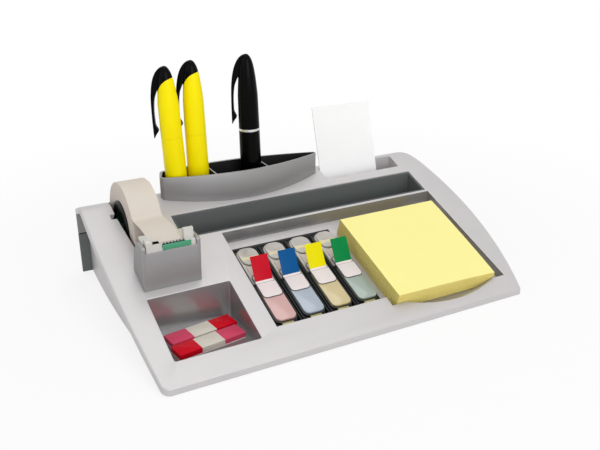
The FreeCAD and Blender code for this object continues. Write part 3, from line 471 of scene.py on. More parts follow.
@dataclass(frozen=True)
class Finish:
    """One finish; its material is made the first time that it is asked for."""

    name: str
    colour: str
    shade: str
    roughness: float = 0.5

    def material(self) -> bpy.types.Material:
        """Make the finish's material, or find it if it is made already.

        Returns:
            The material.
        """
        made = bpy.data.materials.get(self.name)
        if made is None:
            made = bpy.data.materials.new(self.name)
            made.use_nodes = True
            made.diffuse_color = linear(self.colour)
            self.wire(made.node_tree.nodes["Principled BSDF"])
        return made

    def wire(self, shader: Node) -> None:
        """Build the node network; each kind of finish has its own.

        Args:
            shader: The material's principled shader.
        """
        raise NotImplementedError

    def two_tone(self, shader: Node, factor: Socket) -> None:
        """Let the colour drift to its shade by a texture's factor."""
        mixed = add_node(shader.id_data, "ShaderNodeMix",
                         {0: factor, 6: linear(self.colour), 7: linear(self.shade)},
                         data_type="RGBA")
        set_inputs(shader, {"Base Color": mixed.outputs[2]})

    def wear(self, shader: Node, factor: Socket, less: float, more: float) -> None:
        """Let the roughness drift about its mean.

        Args:
            shader: The principled shader.
            factor: A texture's factor.
            less: How far it falls.
            more: How far it rises.
        """
        rough = add_node(shader.id_data, "ShaderNodeMapRange",
                         {"Value": factor, "To Min": self.roughness - less,
                          "To Max": self.roughness + more})
        set_inputs(shader, {"Roughness": rough.outputs["Result"]})

    def mottle(self, shader: Node, size: float, fine: float, bump: float,
               spread: float = 0.06) -> None:
        """Broad drift of colour, fine drift of roughness and a fine bump.

        Args:
            shader: The principled shader.
            size: Size of the colour drift in millimetres.
            fine: Size of the surface texture in millimetres.
            bump: Height of the texture in millimetres, or 0 for none.
            spread: How far the roughness drifts.
        """
        space = object_space(shader.id_data)
        grain = noise(space, fine, 2.0)
        self.two_tone(shader, noise(space, size, 3.0))
        self.wear(shader, grain, spread, spread)
        if bump > 0.0:
            relief(shader, grain, 0.6, bump)


@dataclass(frozen=True)
class Moulded(Finish):
    """Injection-moulded plastic: even colour with the mould's fine texture."""

    grain: Grain = Grain.SPARK
    fleck: float = 0.0
    gleam: float = 0.5

    def wire(self, shader: Node) -> None:
        """Drift, texture and, on painted parts, a little metallic fleck."""
        self.mottle(shader, 35.0, self.grain.value, 0.010)
        set_inputs(shader, {"Metallic": self.fleck, "IOR": 1.53,
                            "Specular IOR Level": self.gleam})


@dataclass(frozen=True)
class ClearStyrene(Finish):
    """Polystyrene with a tint: light passes partly through and it shines."""

    clear: float = 0.45

    def wire(self, shader: Node) -> None:
        """Drift of tint, slight waviness and partial transmission."""
        self.mottle(shader, 9.0, 4.0, 0.02, 0.04)
        set_inputs(shader, {"IOR": 1.59, "Transmission Weight": self.clear, "Coat Weight": 0.4,
                            "Coat Roughness": 0.08})


@dataclass(frozen=True)
class Paper(Finish):
    """Uncoated paper: matte, with fibres that run along the sheet."""

    fibre: float = 1.2

    def wire(self, shader: Node) -> None:
        """Long fibres in relief, and a soft sheen."""
        self.mottle(shader, 18.0, 0.7, 0.0, 0.05)
        drawn = object_space(shader.id_data, Scale=(1.0, 0.22, 1.0))
        relief(shader, noise(drawn, self.fibre, 5.0), 0.35, 0.02)
        set_inputs(shader, {"Sheen Weight": 0.12, "Sheen Roughness": 0.6})


@dataclass(frozen=True)
class Film(Finish):
    """Thin plastic film with a satin face; it glows slightly where light passes."""

    glow: float = 0.04

    def wire(self, shader: Node) -> None:
        """Even colour with slight waves, and light scattered inside."""
        self.mottle(shader, 12.0, 1.6, 0.008, 0.05)
        set_inputs(shader, {"IOR": 1.49, "Specular IOR Level": 0.1,
                            "Subsurface Weight": self.glow, "Subsurface Scale": 1.0,
                            "Subsurface Radius": (0.003, 0.003, 0.003)})


@dataclass(frozen=True)
class WoundFilm(Finish):
    """Matte acetate film wound on a core: its sides show the turns as fine rings."""

    centre: Triple = (0.0, 0.0, 0.0)
    turn: float = 0.55

    def wire(self, shader: Node) -> None:
        """Rings about the spool's axis in colour and relief."""
        tree = shader.id_data
        centred = object_space(tree, Location=tuple(-value * MM for value in self.centre))
        rings = add_node(tree, "ShaderNodeTexWave",
                         {"Vector": centred, "Scale": math.pi / 10.0 * per_metre(self.turn),
                          "Distortion": 0.15, "Detail": 1.0, "Detail Scale": 0.2},
                         wave_type="RINGS", rings_direction="X").outputs["Fac"]
        self.two_tone(shader, rings)
        relief(shader, rings, 0.4, 0.03)
        set_inputs(shader, {"Roughness": self.roughness, "IOR": 1.49,
                            "Subsurface Weight": 0.25, "Subsurface Scale": 1.0,
                            "Subsurface Radius": (0.004, 0.0035, 0.003)})


@dataclass(frozen=True)
class Metal(Finish):
    """Bare or plated steel with the lines that rolling or turning leaves."""

    lines: Triple = (1.0, 1.0, 1.0)

    def wire(self, shader: Node) -> None:
        """Drawn-out noise for the lines, in colour and roughness."""
        marks = noise(object_space(shader.id_data, Scale=self.lines), 0.8, 4.0)
        self.two_tone(shader, marks)
        self.wear(shader, marks, 0.08, 0.1)
        set_inputs(shader, {"Metallic": 1.0})


# ---------------------------------------------------------------- finishes
# ABS sprayed silver: satin, a slight metallic fleck, edges catch the light
SILVER_ABS = Moulded("silver_sprayed_abs", "#C5C2C2", "#BEBBBC", 0.42, Grain.SPARK, 0.25)
# the same paint, darker as painted shade, on the upright parts that stand on the deck and on the
# back plate in its recess
SHADED_SILVER_ABS = Moulded("silver_sprayed_abs_dark", "#989797", "#8F8E8F", 0.42, Grain.SPARK, 0.3)
# the pockets' walls: the same paint over a polished mould, so they mirror what lies in them, made
# darker as painted shade
SHADED_POCKET_ABS = Moulded("silver_polished_abs_painted_shade", "#A3A2A2", "#969596", 0.24, Grain.SATIN, 0.6)
# matte black painted shade: inside the cup, on the walls of the saddle's slot and on the drawer
# panel's top edge
BLACK_PAINTED_SHADE = Moulded("black_painted_shade", "#121213", "#0D0D0E", 0.6, Grain.SPARK,
                         gleam=0.15)
# self-coloured dark grey ABS with a spark-eroded texture, except the liner, whose dark grey is
# painted shade of the long tray's deep inside
SHADED_LINER_ABS = Moulded("dark_grey_liner_painted_shade", "#4C5150", "#454A49", 0.5, Grain.SPARK)
DRAWER_ABS = Moulded("grey_drawer_abs", "#5F6462", "#585D5B", 0.48, Grain.SPARK)
COVER_ABS = Moulded("charcoal_cover_abs", "#2E3032", "#292B2D", 0.6, Grain.SPARK)
# black high-impact polystyrene, fairly shiny
INSERT_STYRENE = Moulded("black_insert_styrene", "#131415", "#0D0E0F", 0.36, Grain.SATIN,
                         gleam=0.2)
# the hub's own black, also used as painted black shade in the spool's well
HUB_AND_WELL_SHADE_BLACK = Moulded("black_hub_styrene_and_painted_well_shade", "#0E1110", "#0A0C0C", 0.38, Grain.SATIN,
                      gleam=0.12)
CORE_STYRENE = Moulded("dark_green_core_styrene", "#1E4A3C", "#193F33", 0.4, Grain.SATIN)
# off-white acetal, waxy and smooth
SADDLE_ACETAL = Moulded("off_white_acetal", "#CDCBC5", "#C3C1BB", 0.3, Grain.POLISH)
GUARD_PP = Moulded("green_polypropylene", "#3F9A72", "#358A65", 0.4, Grain.POLISH)
# glossy polypropylene of the pens
PEN_YELLOW = Moulded("yellow_pen_polypropylene", "#FFEE00", "#FBE600", 0.3, Grain.POLISH,
                     gleam=0.1)
PEN_BLACK = Moulded("black_pen_polypropylene", "#030303", "#020202", 0.25, Grain.POLISH,
                    gleam=0.06)
FOOT_RUBBER = Moulded("black_foot_rubber", "#1C1C1C", "#161616", 0.85, Grain.SPARK)
# spring steel of the cutter, rolled along its length
BLADE_STEEL = Metal("spring_steel", "#6A6E70", "#55595B", 0.3, (0.08, 1.0, 1.0))
SCREW_ZINC = Metal("zinc_plated_steel", "#A9AEB0", "#8F9497", 0.38, (1.0, 1.0, 1.0))
BALLAST_STEEL = Metal("cold_rolled_steel", "#8C9092", "#777B7E", 0.42, (0.06, 1.0, 1.0))
RING_PLATE = Metal("bright_nickel_plate", "#D9DBDC", "#CFD1D3", 0.32, (1.0, 1.0, 0.1))
# canary note paper: matte with short fibres; its cut edges look deeper in colour
NOTE_PAPER = Paper("canary_note_paper", "#F9F19D", "#F6EC93", 0.9)
NOTE_EDGE = Paper("canary_cut_edge", "#DCCB72", "#CDBB62", 0.92)
CARD_STOCK = Paper("white_card_stock", "#FBFBFB", "#F6F6F7", 0.8)
# the flag dispensers' cases: gloss styrene with papers, and a clear tip tinted amber as a painted
# yellow reflection
CASE_BLACK = Moulded("black_case_styrene", "#17181A", "#111214", 0.3, Grain.POLISH)
CASE_CLEAR = ClearStyrene("clear_case_styrene", "#D8D3CB", "#CBC5BC", 0.14, 0.3)
CASE_RIM = Moulded("grey_rim_styrene", "#4A4D4E", "#424546", 0.3, Grain.POLISH, gleam=0.2)
CASE_TIP_REFLECTION = ClearStyrene("clear_tip_painted_yellow_reflection", "#D8CE86", "#C9BF75", 0.2, 0.3)
CASE_CREAM = Paper("cream_backing_paper", "#EADFB8", "#DFD3AA", 0.7)
CASE_STACK = Paper("refill_backing_paper", "#DCCFC4", "#CFC1B5", 0.6)
CASE_LABEL = Paper("white_label_paper", "#E4DBD9", "#DBD1CF", 0.6)
# adhesive films: the flags' clear band, the markers and the tape
FLAG_BAND = Film("clear_flag_film", "#E9DFDF", "#E0D5D5", 0.35)
MARKER_PINK = Film("pink_marker_film", "#D34A68", "#C94260", 0.4)
MARKER_CREAM = Film("cream_marker_film", "#DBD5C9", "#D0C9BC", 0.45)
MARKER_RED = Film("red_marker_film", "#D0021F", "#C4001B", 0.4)
MARKER_BACKING = Film("clear_backing_film", "#EBD9D6", "#E2CFCC", 0.4)
TAPE_FILM = Film("matte_acetate_tape", "#DAD1C7", "#D5CBC0", 0.5)


# ---------------------------------------------------------------- sub-assemblies
def give(piece: Piece, *finishes: Finish) -> None:
    """Append the finishes' materials to a piece's slots."""
    for finish in finishes:
        piece.data.materials.append(finish.material())


class SubAssembly:
    """A group of pieces that is built and dressed together."""

    body = "chassis"

    def dress(self, piece: Piece, node: str, slot: str, *finishes: Finish,
              rule: Optional[Rule] = None, edge: float = 0.0, at: Optional[Matrix] = None,
              body: Optional[str] = None) -> None:
        """Finish a piece, put it in its place and let it stand for a CAD node.

        Args:
            piece: The piece.
            node: The CAD node that it replaces.
            slot: The material slot's name; not used.
            finishes: Its finishes; none if it has its materials already.
            rule: Picks the finish of each face.
            edge: Rounding of its sharp edges in millimetres.
            at: Where it goes, unless it is in place.
            body: The body it rides on, if not the group's own.
        """
        give(piece, *finishes)
        for face in piece.data.polygons if rule else ():
            face.material_index = int(rule(face.center / MM, face.normal))
        if edge > 0.0:
            soften(piece, edge)
        if at is not None:
            place(piece, at)
        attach(piece, body or self.body)
        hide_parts(node)
        LOG.info("%s: %d faces, rides on %s", piece.name, len(piece.data.polygons),
                 body or self.body)

    def keep(self, node: str, finish: Finish) -> None:
        """Keep a CAD node as it is and give it a better material.

        Args:
            node: The CAD node.
            finish: Its finish.
        """
        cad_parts[node].data.materials.clear()
        give(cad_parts[node], finish)
        LOG.info("%s: CAD node kept", node)

    def build(self) -> None:
        """Build and dress every piece of the group."""
        raise NotImplementedError


@dataclass
class Housing(SubAssembly):
    """The moulded shell with its cover, ballast, feet and screws."""

    crease: float = 32.0        # faces that meet at less are shaded as one
    square_well: Tuple[float, ...] = (-116.6, -69.3, -63.4, -23.0)
    recess: Tuple[float, ...] = (-53.0, -72.0, 113.5, 17.0)
    spool_well: Tuple[float, ...] = (-113.0, 16.5, -87.0, 79.0)
    # the plate left of plate_right and behind plate_front is painted darker as shade
    plate_right: float = -120.0     # the back wall's plate that stands out on the left
    plate_front: float = 79.0
    foot_edge: float = 0.25

    def region(self, at: Vector, normal: Vector) -> int:
        """Tell apart the shell's regions, three of which get painted shade.

        Args:
            at: A face's centre in millimetres.
            normal: Its normal.

        Returns:
            0 for the deck, 1 for a pocket, darker as painted shade, 2 for the spool's well,
            painted black as shade, 3 for the back plate, darker as painted shade.
        """
        def within(box: Tuple[float, ...]) -> bool:
            """Whether the face lies in a box, seen from above."""
            return box[0] < at.x < box[2] and box[1] < at.y < box[3]

        steep = abs(normal.z) < UPRIGHT
        # painted shade: the spool's well black, the pockets and the back plate darker
        if within(self.spool_well) and normal.z < 0.7:
            return 2
        if within(self.square_well) and (steep or normal.z > 0.99):
            return 1
        if within(self.recess) and steep:
            return 1
        plate = at.x < self.plate_right and at.y > self.plate_front and normal.y < -0.9
        return 3 if plate else 0

    def build(self) -> None:
        """Dress the shell and keep the hidden parts."""
        shell = node_copy("top_shell", "shell_moulding", 0.0)
        smooth(shell, self.crease)
        # the shell's pockets, spool well and back plate get painted shade
        self.dress(shell, "top_shell", "silver_plastic", SILVER_ABS, SHADED_POCKET_ABS, HUB_AND_WELL_SHADE_BLACK,
                   SHADED_SILVER_ABS, rule=self.region)
        self.keep("base_cover", COVER_ABS)
        self.keep("ballast_plate", BALLAST_STEEL)
        self.keep("cover_screws", SCREW_ZINC)
        for foot in ("front_left", "front_right", "rear_left", "rear_right"):
            self.dress(node_copy(f"foot_{foot}", f"rubber_foot_{foot}"), f"foot_{foot}",
                       "foot_rubber", FOOT_RUBBER, edge=self.foot_edge)


@dataclass
class Liners(SubAssembly):
    """The tray in the long opening, dark grey as painted shade, and the black insert under the
    flags.
    """

    edge: float = 0.25
    insert_edge: float = 0.2
    insert_at: Triple = (-51.8, -62.98, 3.62)
    wide: float = 75.1
    long: float = 75.7
    thick: float = 0.95
    wall: float = 1.0
    rim: float = 1.5
    rib: float = 4.7            # height of the ribs between the bays
    rib_front: float = 0.4      # how far they stay off the insert's front end
    rib_rear: float = 4.0
    pair: float = 0.95          # half the distance between two ribs
    overlap: float = 0.3        # the outer bays run this far past the insert
    bays: int = 4

    def build(self) -> None:
        """Dress the tray and the insert."""
        # the tray's dark grey is painted shade
        self.dress(node_copy("tray_liner", "long_tray"), "tray_liner", "liner_plastic",
                   SHADED_LINER_ABS, edge=self.edge)
        self.dress(self.insert(), "index_insert", "insert_plastic", INSERT_STYRENE,
                   edge=self.insert_edge, at=tilted(self.insert_at, RECESS_SLOPE))

    def insert(self) -> Piece:
        """Model the flags' insert flat, with its low rim and double ribs.

        Returns:
            The insert, its front left corner at the origin.
        """
        wide, long, wall = self.wide, self.long, self.wall
        walls = [(0.0, 0.0, wide, wall, self.rim), (0.0, long - wall, wide, long, self.rim),
                 (0.0, 0.0, wall, long, self.rim), (wide - wall, 0.0, wide, long, self.rim)]
        pitch = (wide + 2.0 * self.overlap) / self.bays
        for bay in range(1, self.bays):
            for side in (-self.pair, self.pair):
                middle = pitch * bay - self.overlap + side
                walls.append((middle - wall / 2.0, self.rib_front, middle + wall / 2.0,
                              long - self.rib_rear, self.rib))
        insert = slab("flag_insert", (0.0, 0.0, 0.0), (wide, long, self.thick))
        for left, front, right, back, top in walls:
            carve(insert, slab("insert_wall", (left, front, 0.0), (right, back, top)), "UNION")
        return insert


@dataclass
class PenCup(SubAssembly):
    """The eye-shaped cup: silver outside, darker as painted shade, and painted black shade
    inside.
    """

    rim: float = 68.0
    edge: float = 0.4
    left: float = -78.8
    right: float = 43.4
    front: float = 45.65        # where the front wall comes furthest forward
    back: float = 71.0
    belly: float = 2.7          # how much further the wall stands out above the deck
    fullness: float = 0.8       # below 1, the belly keeps its depth further to the tips
    deck: float = 40.8          # height below which nothing moves
    deck_slope: float = 19.24
    foot_zone: float = 6.0      # the wall's foot, this far below the rim, follows the deck
    rim_zone: float = 3.0
    rim_lift: float = 0.6
    # level faces below this drop are the cup's floor, painted black as shade
    shade_drop: float = 4.0    # level faces this far below the rim are the cup's floor

    def swell(self, cup: Piece) -> None:
        """Round the front wall out a little where it stands above the deck.

        Args:
            cup: The cup, in its place.
        """
        climb = math.tan(math.radians(self.deck_slope))
        for vertex in cup.data.vertices:
            x, y, z = vertex.co / MM
            if z < self.deck:
                continue
            across = (x - self.left) / (self.right - self.left)
            share = max(0.0, math.sin(math.pi * across)) ** self.fullness
            share *= min(1.0, max(0.0, (self.back - y) / (self.back - self.front)))
            vertex.co.y -= self.belly * share * MM
            if z < self.rim - self.foot_zone:
                vertex.co.z -= self.belly * share * climb * MM
            elif z > self.rim - self.rim_zone:
                vertex.co.z += self.rim_lift * MM

    def build(self) -> None:
        """Soften the cup's edges and paint black shade on its inside."""
        cup = node_copy("pen_cup", "pen_cup_shell")
        self.swell(cup)
        bpy.context.view_layer.update()

        def inside(at: Vector, normal: Vector) -> bool:
            """Whether a face is part of the cup's inner wall or floor."""
            if abs(normal.z) < UPRIGHT:
                return cup.ray_cast((at + normal * HAIR) * MM, normal)[0]
            return normal.z > UPRIGHT and at.z < self.rim - self.shade_drop

        # outside: silver darkened as painted shade; inner walls and floor: painted black shade
        self.dress(cup, "pen_cup", "silver_plastic", SHADED_SILVER_ABS, BLACK_PAINTED_SHADE, rule=inside,
                   edge=self.edge)


@dataclass
class Cutter(SubAssembly):
    """The dispenser's cutter: housing, pale saddle, steel blade and green guard."""

    slot_low: Triple = (-111.8, -18.9, 54.0)
    slot_high: Triple = (-104.2, -15.0, 58.0)
    # the slot's walls below this height are painted black as shade
    slot_mouth: float = 56.95       # the slot is black below this height
    step_low: Triple = (-89.4, -20.0, 55.7)
    step_high: Triple = (-82.0, -16.3, 63.0)
    guard_from: float = -90.0       # the guard's end to the right of this runs on
    guard_reach: float = 3.2        # by so much, in front of the right post
    edge: float = 0.5
    saddle_edge: float = 0.3
    guard_edge: float = 0.2

    def in_slot(self, at: Vector, _: Vector) -> bool:
        """Whether a face belongs to the walls of the saddle's slot, which are painted black as
        shade.
        """
        return at.z < self.slot_mouth and all(
            low - HAIR < value < high + HAIR
            for low, value, high in zip(self.slot_low, at, self.slot_high))

    def build(self) -> None:
        """Dress the housing in silver darkened as painted shade, cut the saddle's slot and step,
        paint shade in the slot, and keep the blade.
        """
        housing = node_copy("cutter_housing", "cutter_block")
        soften(housing, self.edge, 3)
        # the housing's silver is darkened as painted shade
        self.dress(housing, "cutter_housing", "silver_plastic", SHADED_SILVER_ABS)
        saddle = node_copy("cutter_saddle", "cutter_landing")
        carve(saddle, slab("slot_tool", self.slot_low, self.slot_high, 0.4))
        carve(saddle, slab("step_tool", self.step_low, self.step_high))
        # the slot's walls get painted black shade
        self.dress(saddle, "cutter_saddle", "pale_plastic", SADDLE_ACETAL, BLACK_PAINTED_SHADE,
                   rule=self.in_slot, edge=self.saddle_edge)
        self.keep("cutter_blade", BLADE_STEEL)
        guard = node_copy("blade_guard", "cutter_guard")
        for vertex in guard.data.vertices:
            if vertex.co.x > self.guard_from * MM:
                vertex.co.x += self.guard_reach * MM
        self.dress(guard, "blade_guard", "green_plastic", GUARD_PP, edge=self.guard_edge)


@dataclass
class TapeSpool(SubAssembly):
    """The roll of tape on its core and hub, and the tape's free end."""

    body = "tape_spool"
    centre: Triple = (-98.8, 47.95, 42.6)
    width: float = 19.0
    outer: float = 29.3
    inner: float = 13.5
    corner: float = 0.5         # size of the roll's rounded edges
    chamfer: float = 0.15       # and how near their middle comes to the full corner
    core: float = 1.0
    film: float = 0.25
    gap: float = 0.3            # between the roll and the free end on it
    leaves: int = 149           # degrees round the roll where the free end leaves it
    starts: int = 95            # and where it begins
    lead: Tuple[Pair, ...] = ((-14.45, 54.95), (-4.35, 57.1), (5.5, 57.5), (13.5, 57.0),
                              (18.6, 56.7), (21.3, 57.1))     # (y, z) from the saddle on
    hub_edge: float = 0.2
    bore: float = 2.12          # the hub's faces that look inward from further out are green

    def free_end(self) -> Piece:
        """Model the tape's end: on the saddle, across to the roll, then up round it.

        Returns:
            The tape's end, drawn along X.
        """
        path = list(self.lead)
        reach = self.outer + self.gap
        for degrees in range(self.leaves, self.starts, -3):
            angle = math.radians(degrees)
            path.append((self.centre[1] + reach * math.cos(angle),
                         self.centre[2] + reach * math.sin(angle)))
        path = path[:1] + flow(path[1:], 4)
        stations = []
        for spot, (y, z) in enumerate(path):
            before = path[max(spot - 1, 0)]
            after = path[min(spot + 1, len(path) - 1)]
            away = Vector((before[1] - after[1], after[0] - before[0])).normalized() * self.film
            stations.append((y + away.x, z + away.y, y, z, self.width / 2.0))
        lead = ribbon("tape_free_end", stations)
        smooth(lead, 50.0)
        return lead

    def build(self) -> None:
        """Turn the roll and the core, and dress the hub and the free end."""
        wound = WoundFilm("wound_acetate_tape", "#D9CFC4", "#C9BDB0", 0.55, self.centre)
        half, outer, inner = self.width / 2.0, self.outer, self.inner
        edge, soft, hollow = self.corner, self.chamfer, inner - self.core
        roll = lathe("wound_tape", [
            (inner, -half), (outer - edge, -half), (outer - soft, -half + soft),
            (outer, -half + edge), (outer, half - edge), (outer - soft, half - soft),
            (outer - edge, half), (inner, half), (inner, -half)], 96)
        core = lathe("tape_core_ring", [(hollow, -half), (inner, -half), (inner, half),
                                        (hollow, half), (hollow, -half)], 72)
        axle = tilted(self.centre, 90.0, "Y")
        self.dress(roll, "tape_roll", "tape_film", wound, TAPE_FILM, at=axle,
                   rule=lambda _, normal: abs(normal.z) < 0.4)
        self.dress(core, "tape_core", "core_plastic", CORE_STYRENE, at=axle)

        def inward(at: Vector, normal: Vector) -> bool:
            """Whether a face of the hub looks towards the axle."""
            arm = at - Vector(self.centre)
            arm.x = 0.0
            return abs(normal.x) < 0.3 and arm.dot(normal) < -self.bore

        self.dress(node_copy("tape_hub", "spool_hub"), "tape_hub", "hub_plastic", HUB_AND_WELL_SHADE_BLACK,
                   CORE_STYRENE, rule=inward, edge=self.hub_edge)
        self.dress(self.free_end(), "tape_lead", "tape_film", TAPE_FILM, body="chassis",
                   at=tilted((self.centre[0], 0.0, 0.0), 90.0, "Z"))


@dataclass
class Drawer(SubAssembly):
    """The rear drawer: box, front panel with its pull, and two runners."""

    body = "drawer"
    edge: float = 0.4
    # the panel's top edge above this height is painted black as the seam's shade
    seam: float = 29.0      # the panel's top edge, black above this height

    def build(self) -> None:
        """Dress the box and the panel, with painted black shade on the panel's top edge; the
        runners stay with the shell.
        """
        self.dress(node_copy("drawer_box", "drawer_tray"), "drawer_box", "drawer_plastic",
                   DRAWER_ABS, edge=self.edge)
        # the panel's top face gets painted black shade
        self.dress(node_copy("drawer_front", "drawer_panel"), "drawer_front", "drawer_plastic",
                   DRAWER_ABS, BLACK_PAINTED_SHADE, edge=self.edge,
                   rule=lambda at, normal: normal.z > 0.9 and at.z > self.seam)
        for side in ("left", "right"):
            self.keep(f"runner_{side}", COVER_ABS)


@dataclass
class NotePad(SubAssembly):
    """A pad of square notes: thin bundles of sheets that don't line up exactly."""

    body = "note_pad"
    side: float = 76.0
    thickness: float = 12.8
    bundles: int = 32
    share: float = 0.97         # of a bundle's height is paper, the rest a gap
    droop: float = 0.19         # share of its height that the front right corner loses
    slip_x: float = 0.16        # how far the bundles slip past each other
    slip_y: float = 0.14
    at: Triple = (27.2, -68.75, 3.33)

    def build(self) -> None:
        """Stack the bundles, let a corner droop and lean the pad on its seat."""
        step = self.thickness / self.bundles
        sheet = slab("note_bundle", (0.0, 0.0, 0.0), (self.side, self.side, step * self.share))
        subdivide(sheet, 7)
        give(sheet, NOTE_PAPER, NOTE_EDGE)
        sheets = [copy_piece(sheet, f"notes_{level}") for level in range(self.bundles)]
        for level, copy in enumerate(sheets):
            self.curl(copy, level, step)
        bpy.data.objects.remove(sheet)
        pad = join(sheets, "pad_of_notes")
        smooth(pad, 40.0)
        self.dress(pad, "note_pad", "note_paper", at=tilted(self.at, RECESS_SLOPE),
                   rule=lambda _, normal: abs(normal.z) < UPRIGHT)

    def curl(self, copy: Piece, level: int, step: float) -> None:
        """Shift one bundle a little and let the upper ones droop at the front right.

        Args:
            copy: The bundle.
            level: Its number from the seat up.
            step: Height of a bundle and its gap.
        """
        shift_x = self.slip_x * math.sin(level * 2.4) * (0.4 + level / self.bundles)
        shift_y = self.slip_y * math.sin(level * 1.7 + 1.0)
        for vertex in copy.data.vertices:
            across = vertex.co.x / MM / self.side
            forward = 1.0 - vertex.co.y / MM / self.side
            shrink = 1.0 - self.droop * forward ** 2 * across ** 2
            vertex.co.x += shift_x * forward * MM
            vertex.co.y += shift_y * MM
            vertex.co.z = (vertex.co.z + level * step * MM) * shrink


class Tint(Enum):
    """Colours of one flag dispenser: case, case drift, flag, flag drift."""

    RED = ("#DDB0AB", "#D6A5A0", "#C40722", "#B9061E")
    BLUE = ("#B4C0CE", "#A9B5C4", "#00528F", "#004A83")
    YELLOW = ("#DCCA96", "#D4C18B", "#EADE00", "#E0D400")
    GREEN = ("#AAB9AE", "#9FAFA3", "#008440", "#007839")


class CasePart(Enum):
    """A case's parts: finish or None for the tint, inset at the sides, front, rear, foot,
    top, radius of the rounded ends, rounding of the edges, and which ends are rounded.
    """

    BASE = (CASE_BLACK, 0.0, 0.8, 68.0, 0.0, 2.4, 4.4, 0.3, Ends.ALL)
    WALL = (CASE_BLACK, 0.3, 1.6, 36.0, 2.4, 4.2, 3.9, 0.3, Ends.FRONT)
    BODY = (None, 0.9, 2.4, 33.0, 4.2, 5.7, 3.6, 0.55, Ends.FRONT)
    REAR = (CASE_CLEAR, 0.4, 36.0, 67.7, 2.4, 4.9, 5.6, 0.7, Ends.REAR)
    DOME = (CASE_CLEAR, 1.2, 51.5, 67.0, 4.8, 6.2, 5.0, 0.7, Ends.ALL)
    REFILL = (CASE_STACK, 2.0, 36.4, 50.8, 4.8, 5.4, 0.5, 0.1, Ends.ALL)
    STRIPE = (CASE_CREAM, 1.6, 55.6, 58.4, 6.05, 6.3, 0.4, 0.0, Ends.ALL)
    RIM = (CASE_RIM, 0.9, 21.4, 42.6, 5.5, 5.95, 3.0, 0.12, Ends.ALL)
    WINDOW = (CASE_CLEAR, 1.35, 34.4, 42.1, 5.6, 6.1, 2.6, 0.08, Ends.REAR)
    LABEL = (CASE_LABEL, 1.4, 21.9, 34.0, 5.9, 6.2, 2.5, 0.08, Ends.FRONT)
    # the tip's amber tint is a painted yellow reflection
    TIP = (CASE_TIP_REFLECTION, 3.9, -0.6, 1.9, 1.7, 3.9, 0.5, 0.3, Ends.ALL)


@dataclass
class FlagDispensers(SubAssembly):
    """Four slim cases of index flags, one flag standing up from each."""

    front: float = -60.15       # cases' front ends
    foot: float = 5.55          # height of the cases' floor there
    first: float = -42.64       # centre of the first bay
    pitch: float = 18.925
    width: float = 15.4
    tip_aside: float = -0.3     # the tip sits a little off the case's middle
    flag_width: float = 11.8
    flag_height: float = 17.1
    flag_thick: float = 0.28
    flag_bow: float = 0.45      # its sides' bend at the foot
    flag_arch: float = 0.5      # how far its top bends forward
    flag_foot: float = 1.9      # height of the flag's clear band
    flag_lean: float = 32.0     # degrees from upright, top towards the back
    flag_at: Triple = (-0.6, 34.1, 6.25)    # on the case

    def case_part(self, part: CasePart) -> Piece:
        """Model one part of a dispenser.

        Args:
            part: Which part.

        Returns:
            The part, where the case's middle stands at X = 0.
        """
        _, inset, front, rear, foot, top, radius, edge, ends = part.value
        half = self.width / 2.0 - inset
        aside = self.tip_aside if part is CasePart.TIP else 0.0
        return slab(f"flag_{part.name.lower()}", (aside - half, front, foot),
                    (aside + half, rear, top), radius, edge, ends)

    def flag(self) -> Piece:
        """Model one flag: a foot on the case and a standing, bowed end.

        Returns:
            The flag, upright at the origin.
        """
        wide = self.flag_width / 2.0
        film = slab("flag_pattern", (-wide, 0.0, 0.0), (wide, self.flag_thick, self.flag_height))
        subdivide(film, 11)
        for vertex in film.data.vertices:
            across = vertex.co.x / MM / wide
            up = vertex.co.z / MM / self.flag_height
            vertex.co.y += (self.flag_bow * across * across * (1.0 - up)
                            - self.flag_arch * up * up) * MM
        return film

    def build(self) -> None:
        """Model one dispenser, then copy it into each bay with its own tint."""
        parts = [(self.case_part(part), part.value[0]) for part in CasePart]
        flag = self.flag()
        stand = tilted(self.flag_at, -RECESS_SLOPE - self.flag_lean)
        for index, tint in enumerate(Tint):
            body, name = f"flags_{index + 1}", tint.name.lower()
            case_colour, case_shade, flag_colour, flag_shade = tint.value
            tinted = ClearStyrene(f"{name}_tint_styrene", case_colour, case_shade, 0.2, 0.2)
            film = Film(f"{name}_flag_film", flag_colour, flag_shade, 0.38)
            bay = tilted((self.first + self.pitch * index, self.front, self.foot), RECESS_SLOPE)
            copies = []
            for part, finish in parts:
                copies.append(copy_piece(part, f"{part.name}_{name}"))
                give(copies[-1], finish or tinted)
            self.dress(join(copies, f"flag_dispenser_{name}"), f"flag_case_{index + 1}",
                       f"case_{name}", at=bay, body=body)
            stood = copy_piece(flag, f"index_flag_{name}")
            smooth(stood, 50.0)
            self.dress(stood, f"flag_tab_{index + 1}", f"tab_{name}", film, FLAG_BAND,
                       rule=lambda at, _: at.z < self.flag_foot, at=bay @ stand, body=body)
        for piece in [part for part, _ in parts] + [flag]:
            bpy.data.objects.remove(piece)


class MarkerRun(Enum):
    """The two marker strips: body, CAD node, centre and stacks from the left."""

    BACK = ("markers_back", "marker_strip_back", (-88.9, -37.7),
            (MARKER_PINK, MARKER_CREAM, MARKER_RED))
    FRONT = ("markers_front", "marker_strip_front", (-89.2, -51.0),
             (MARKER_RED, MARKER_CREAM, MARKER_PINK))


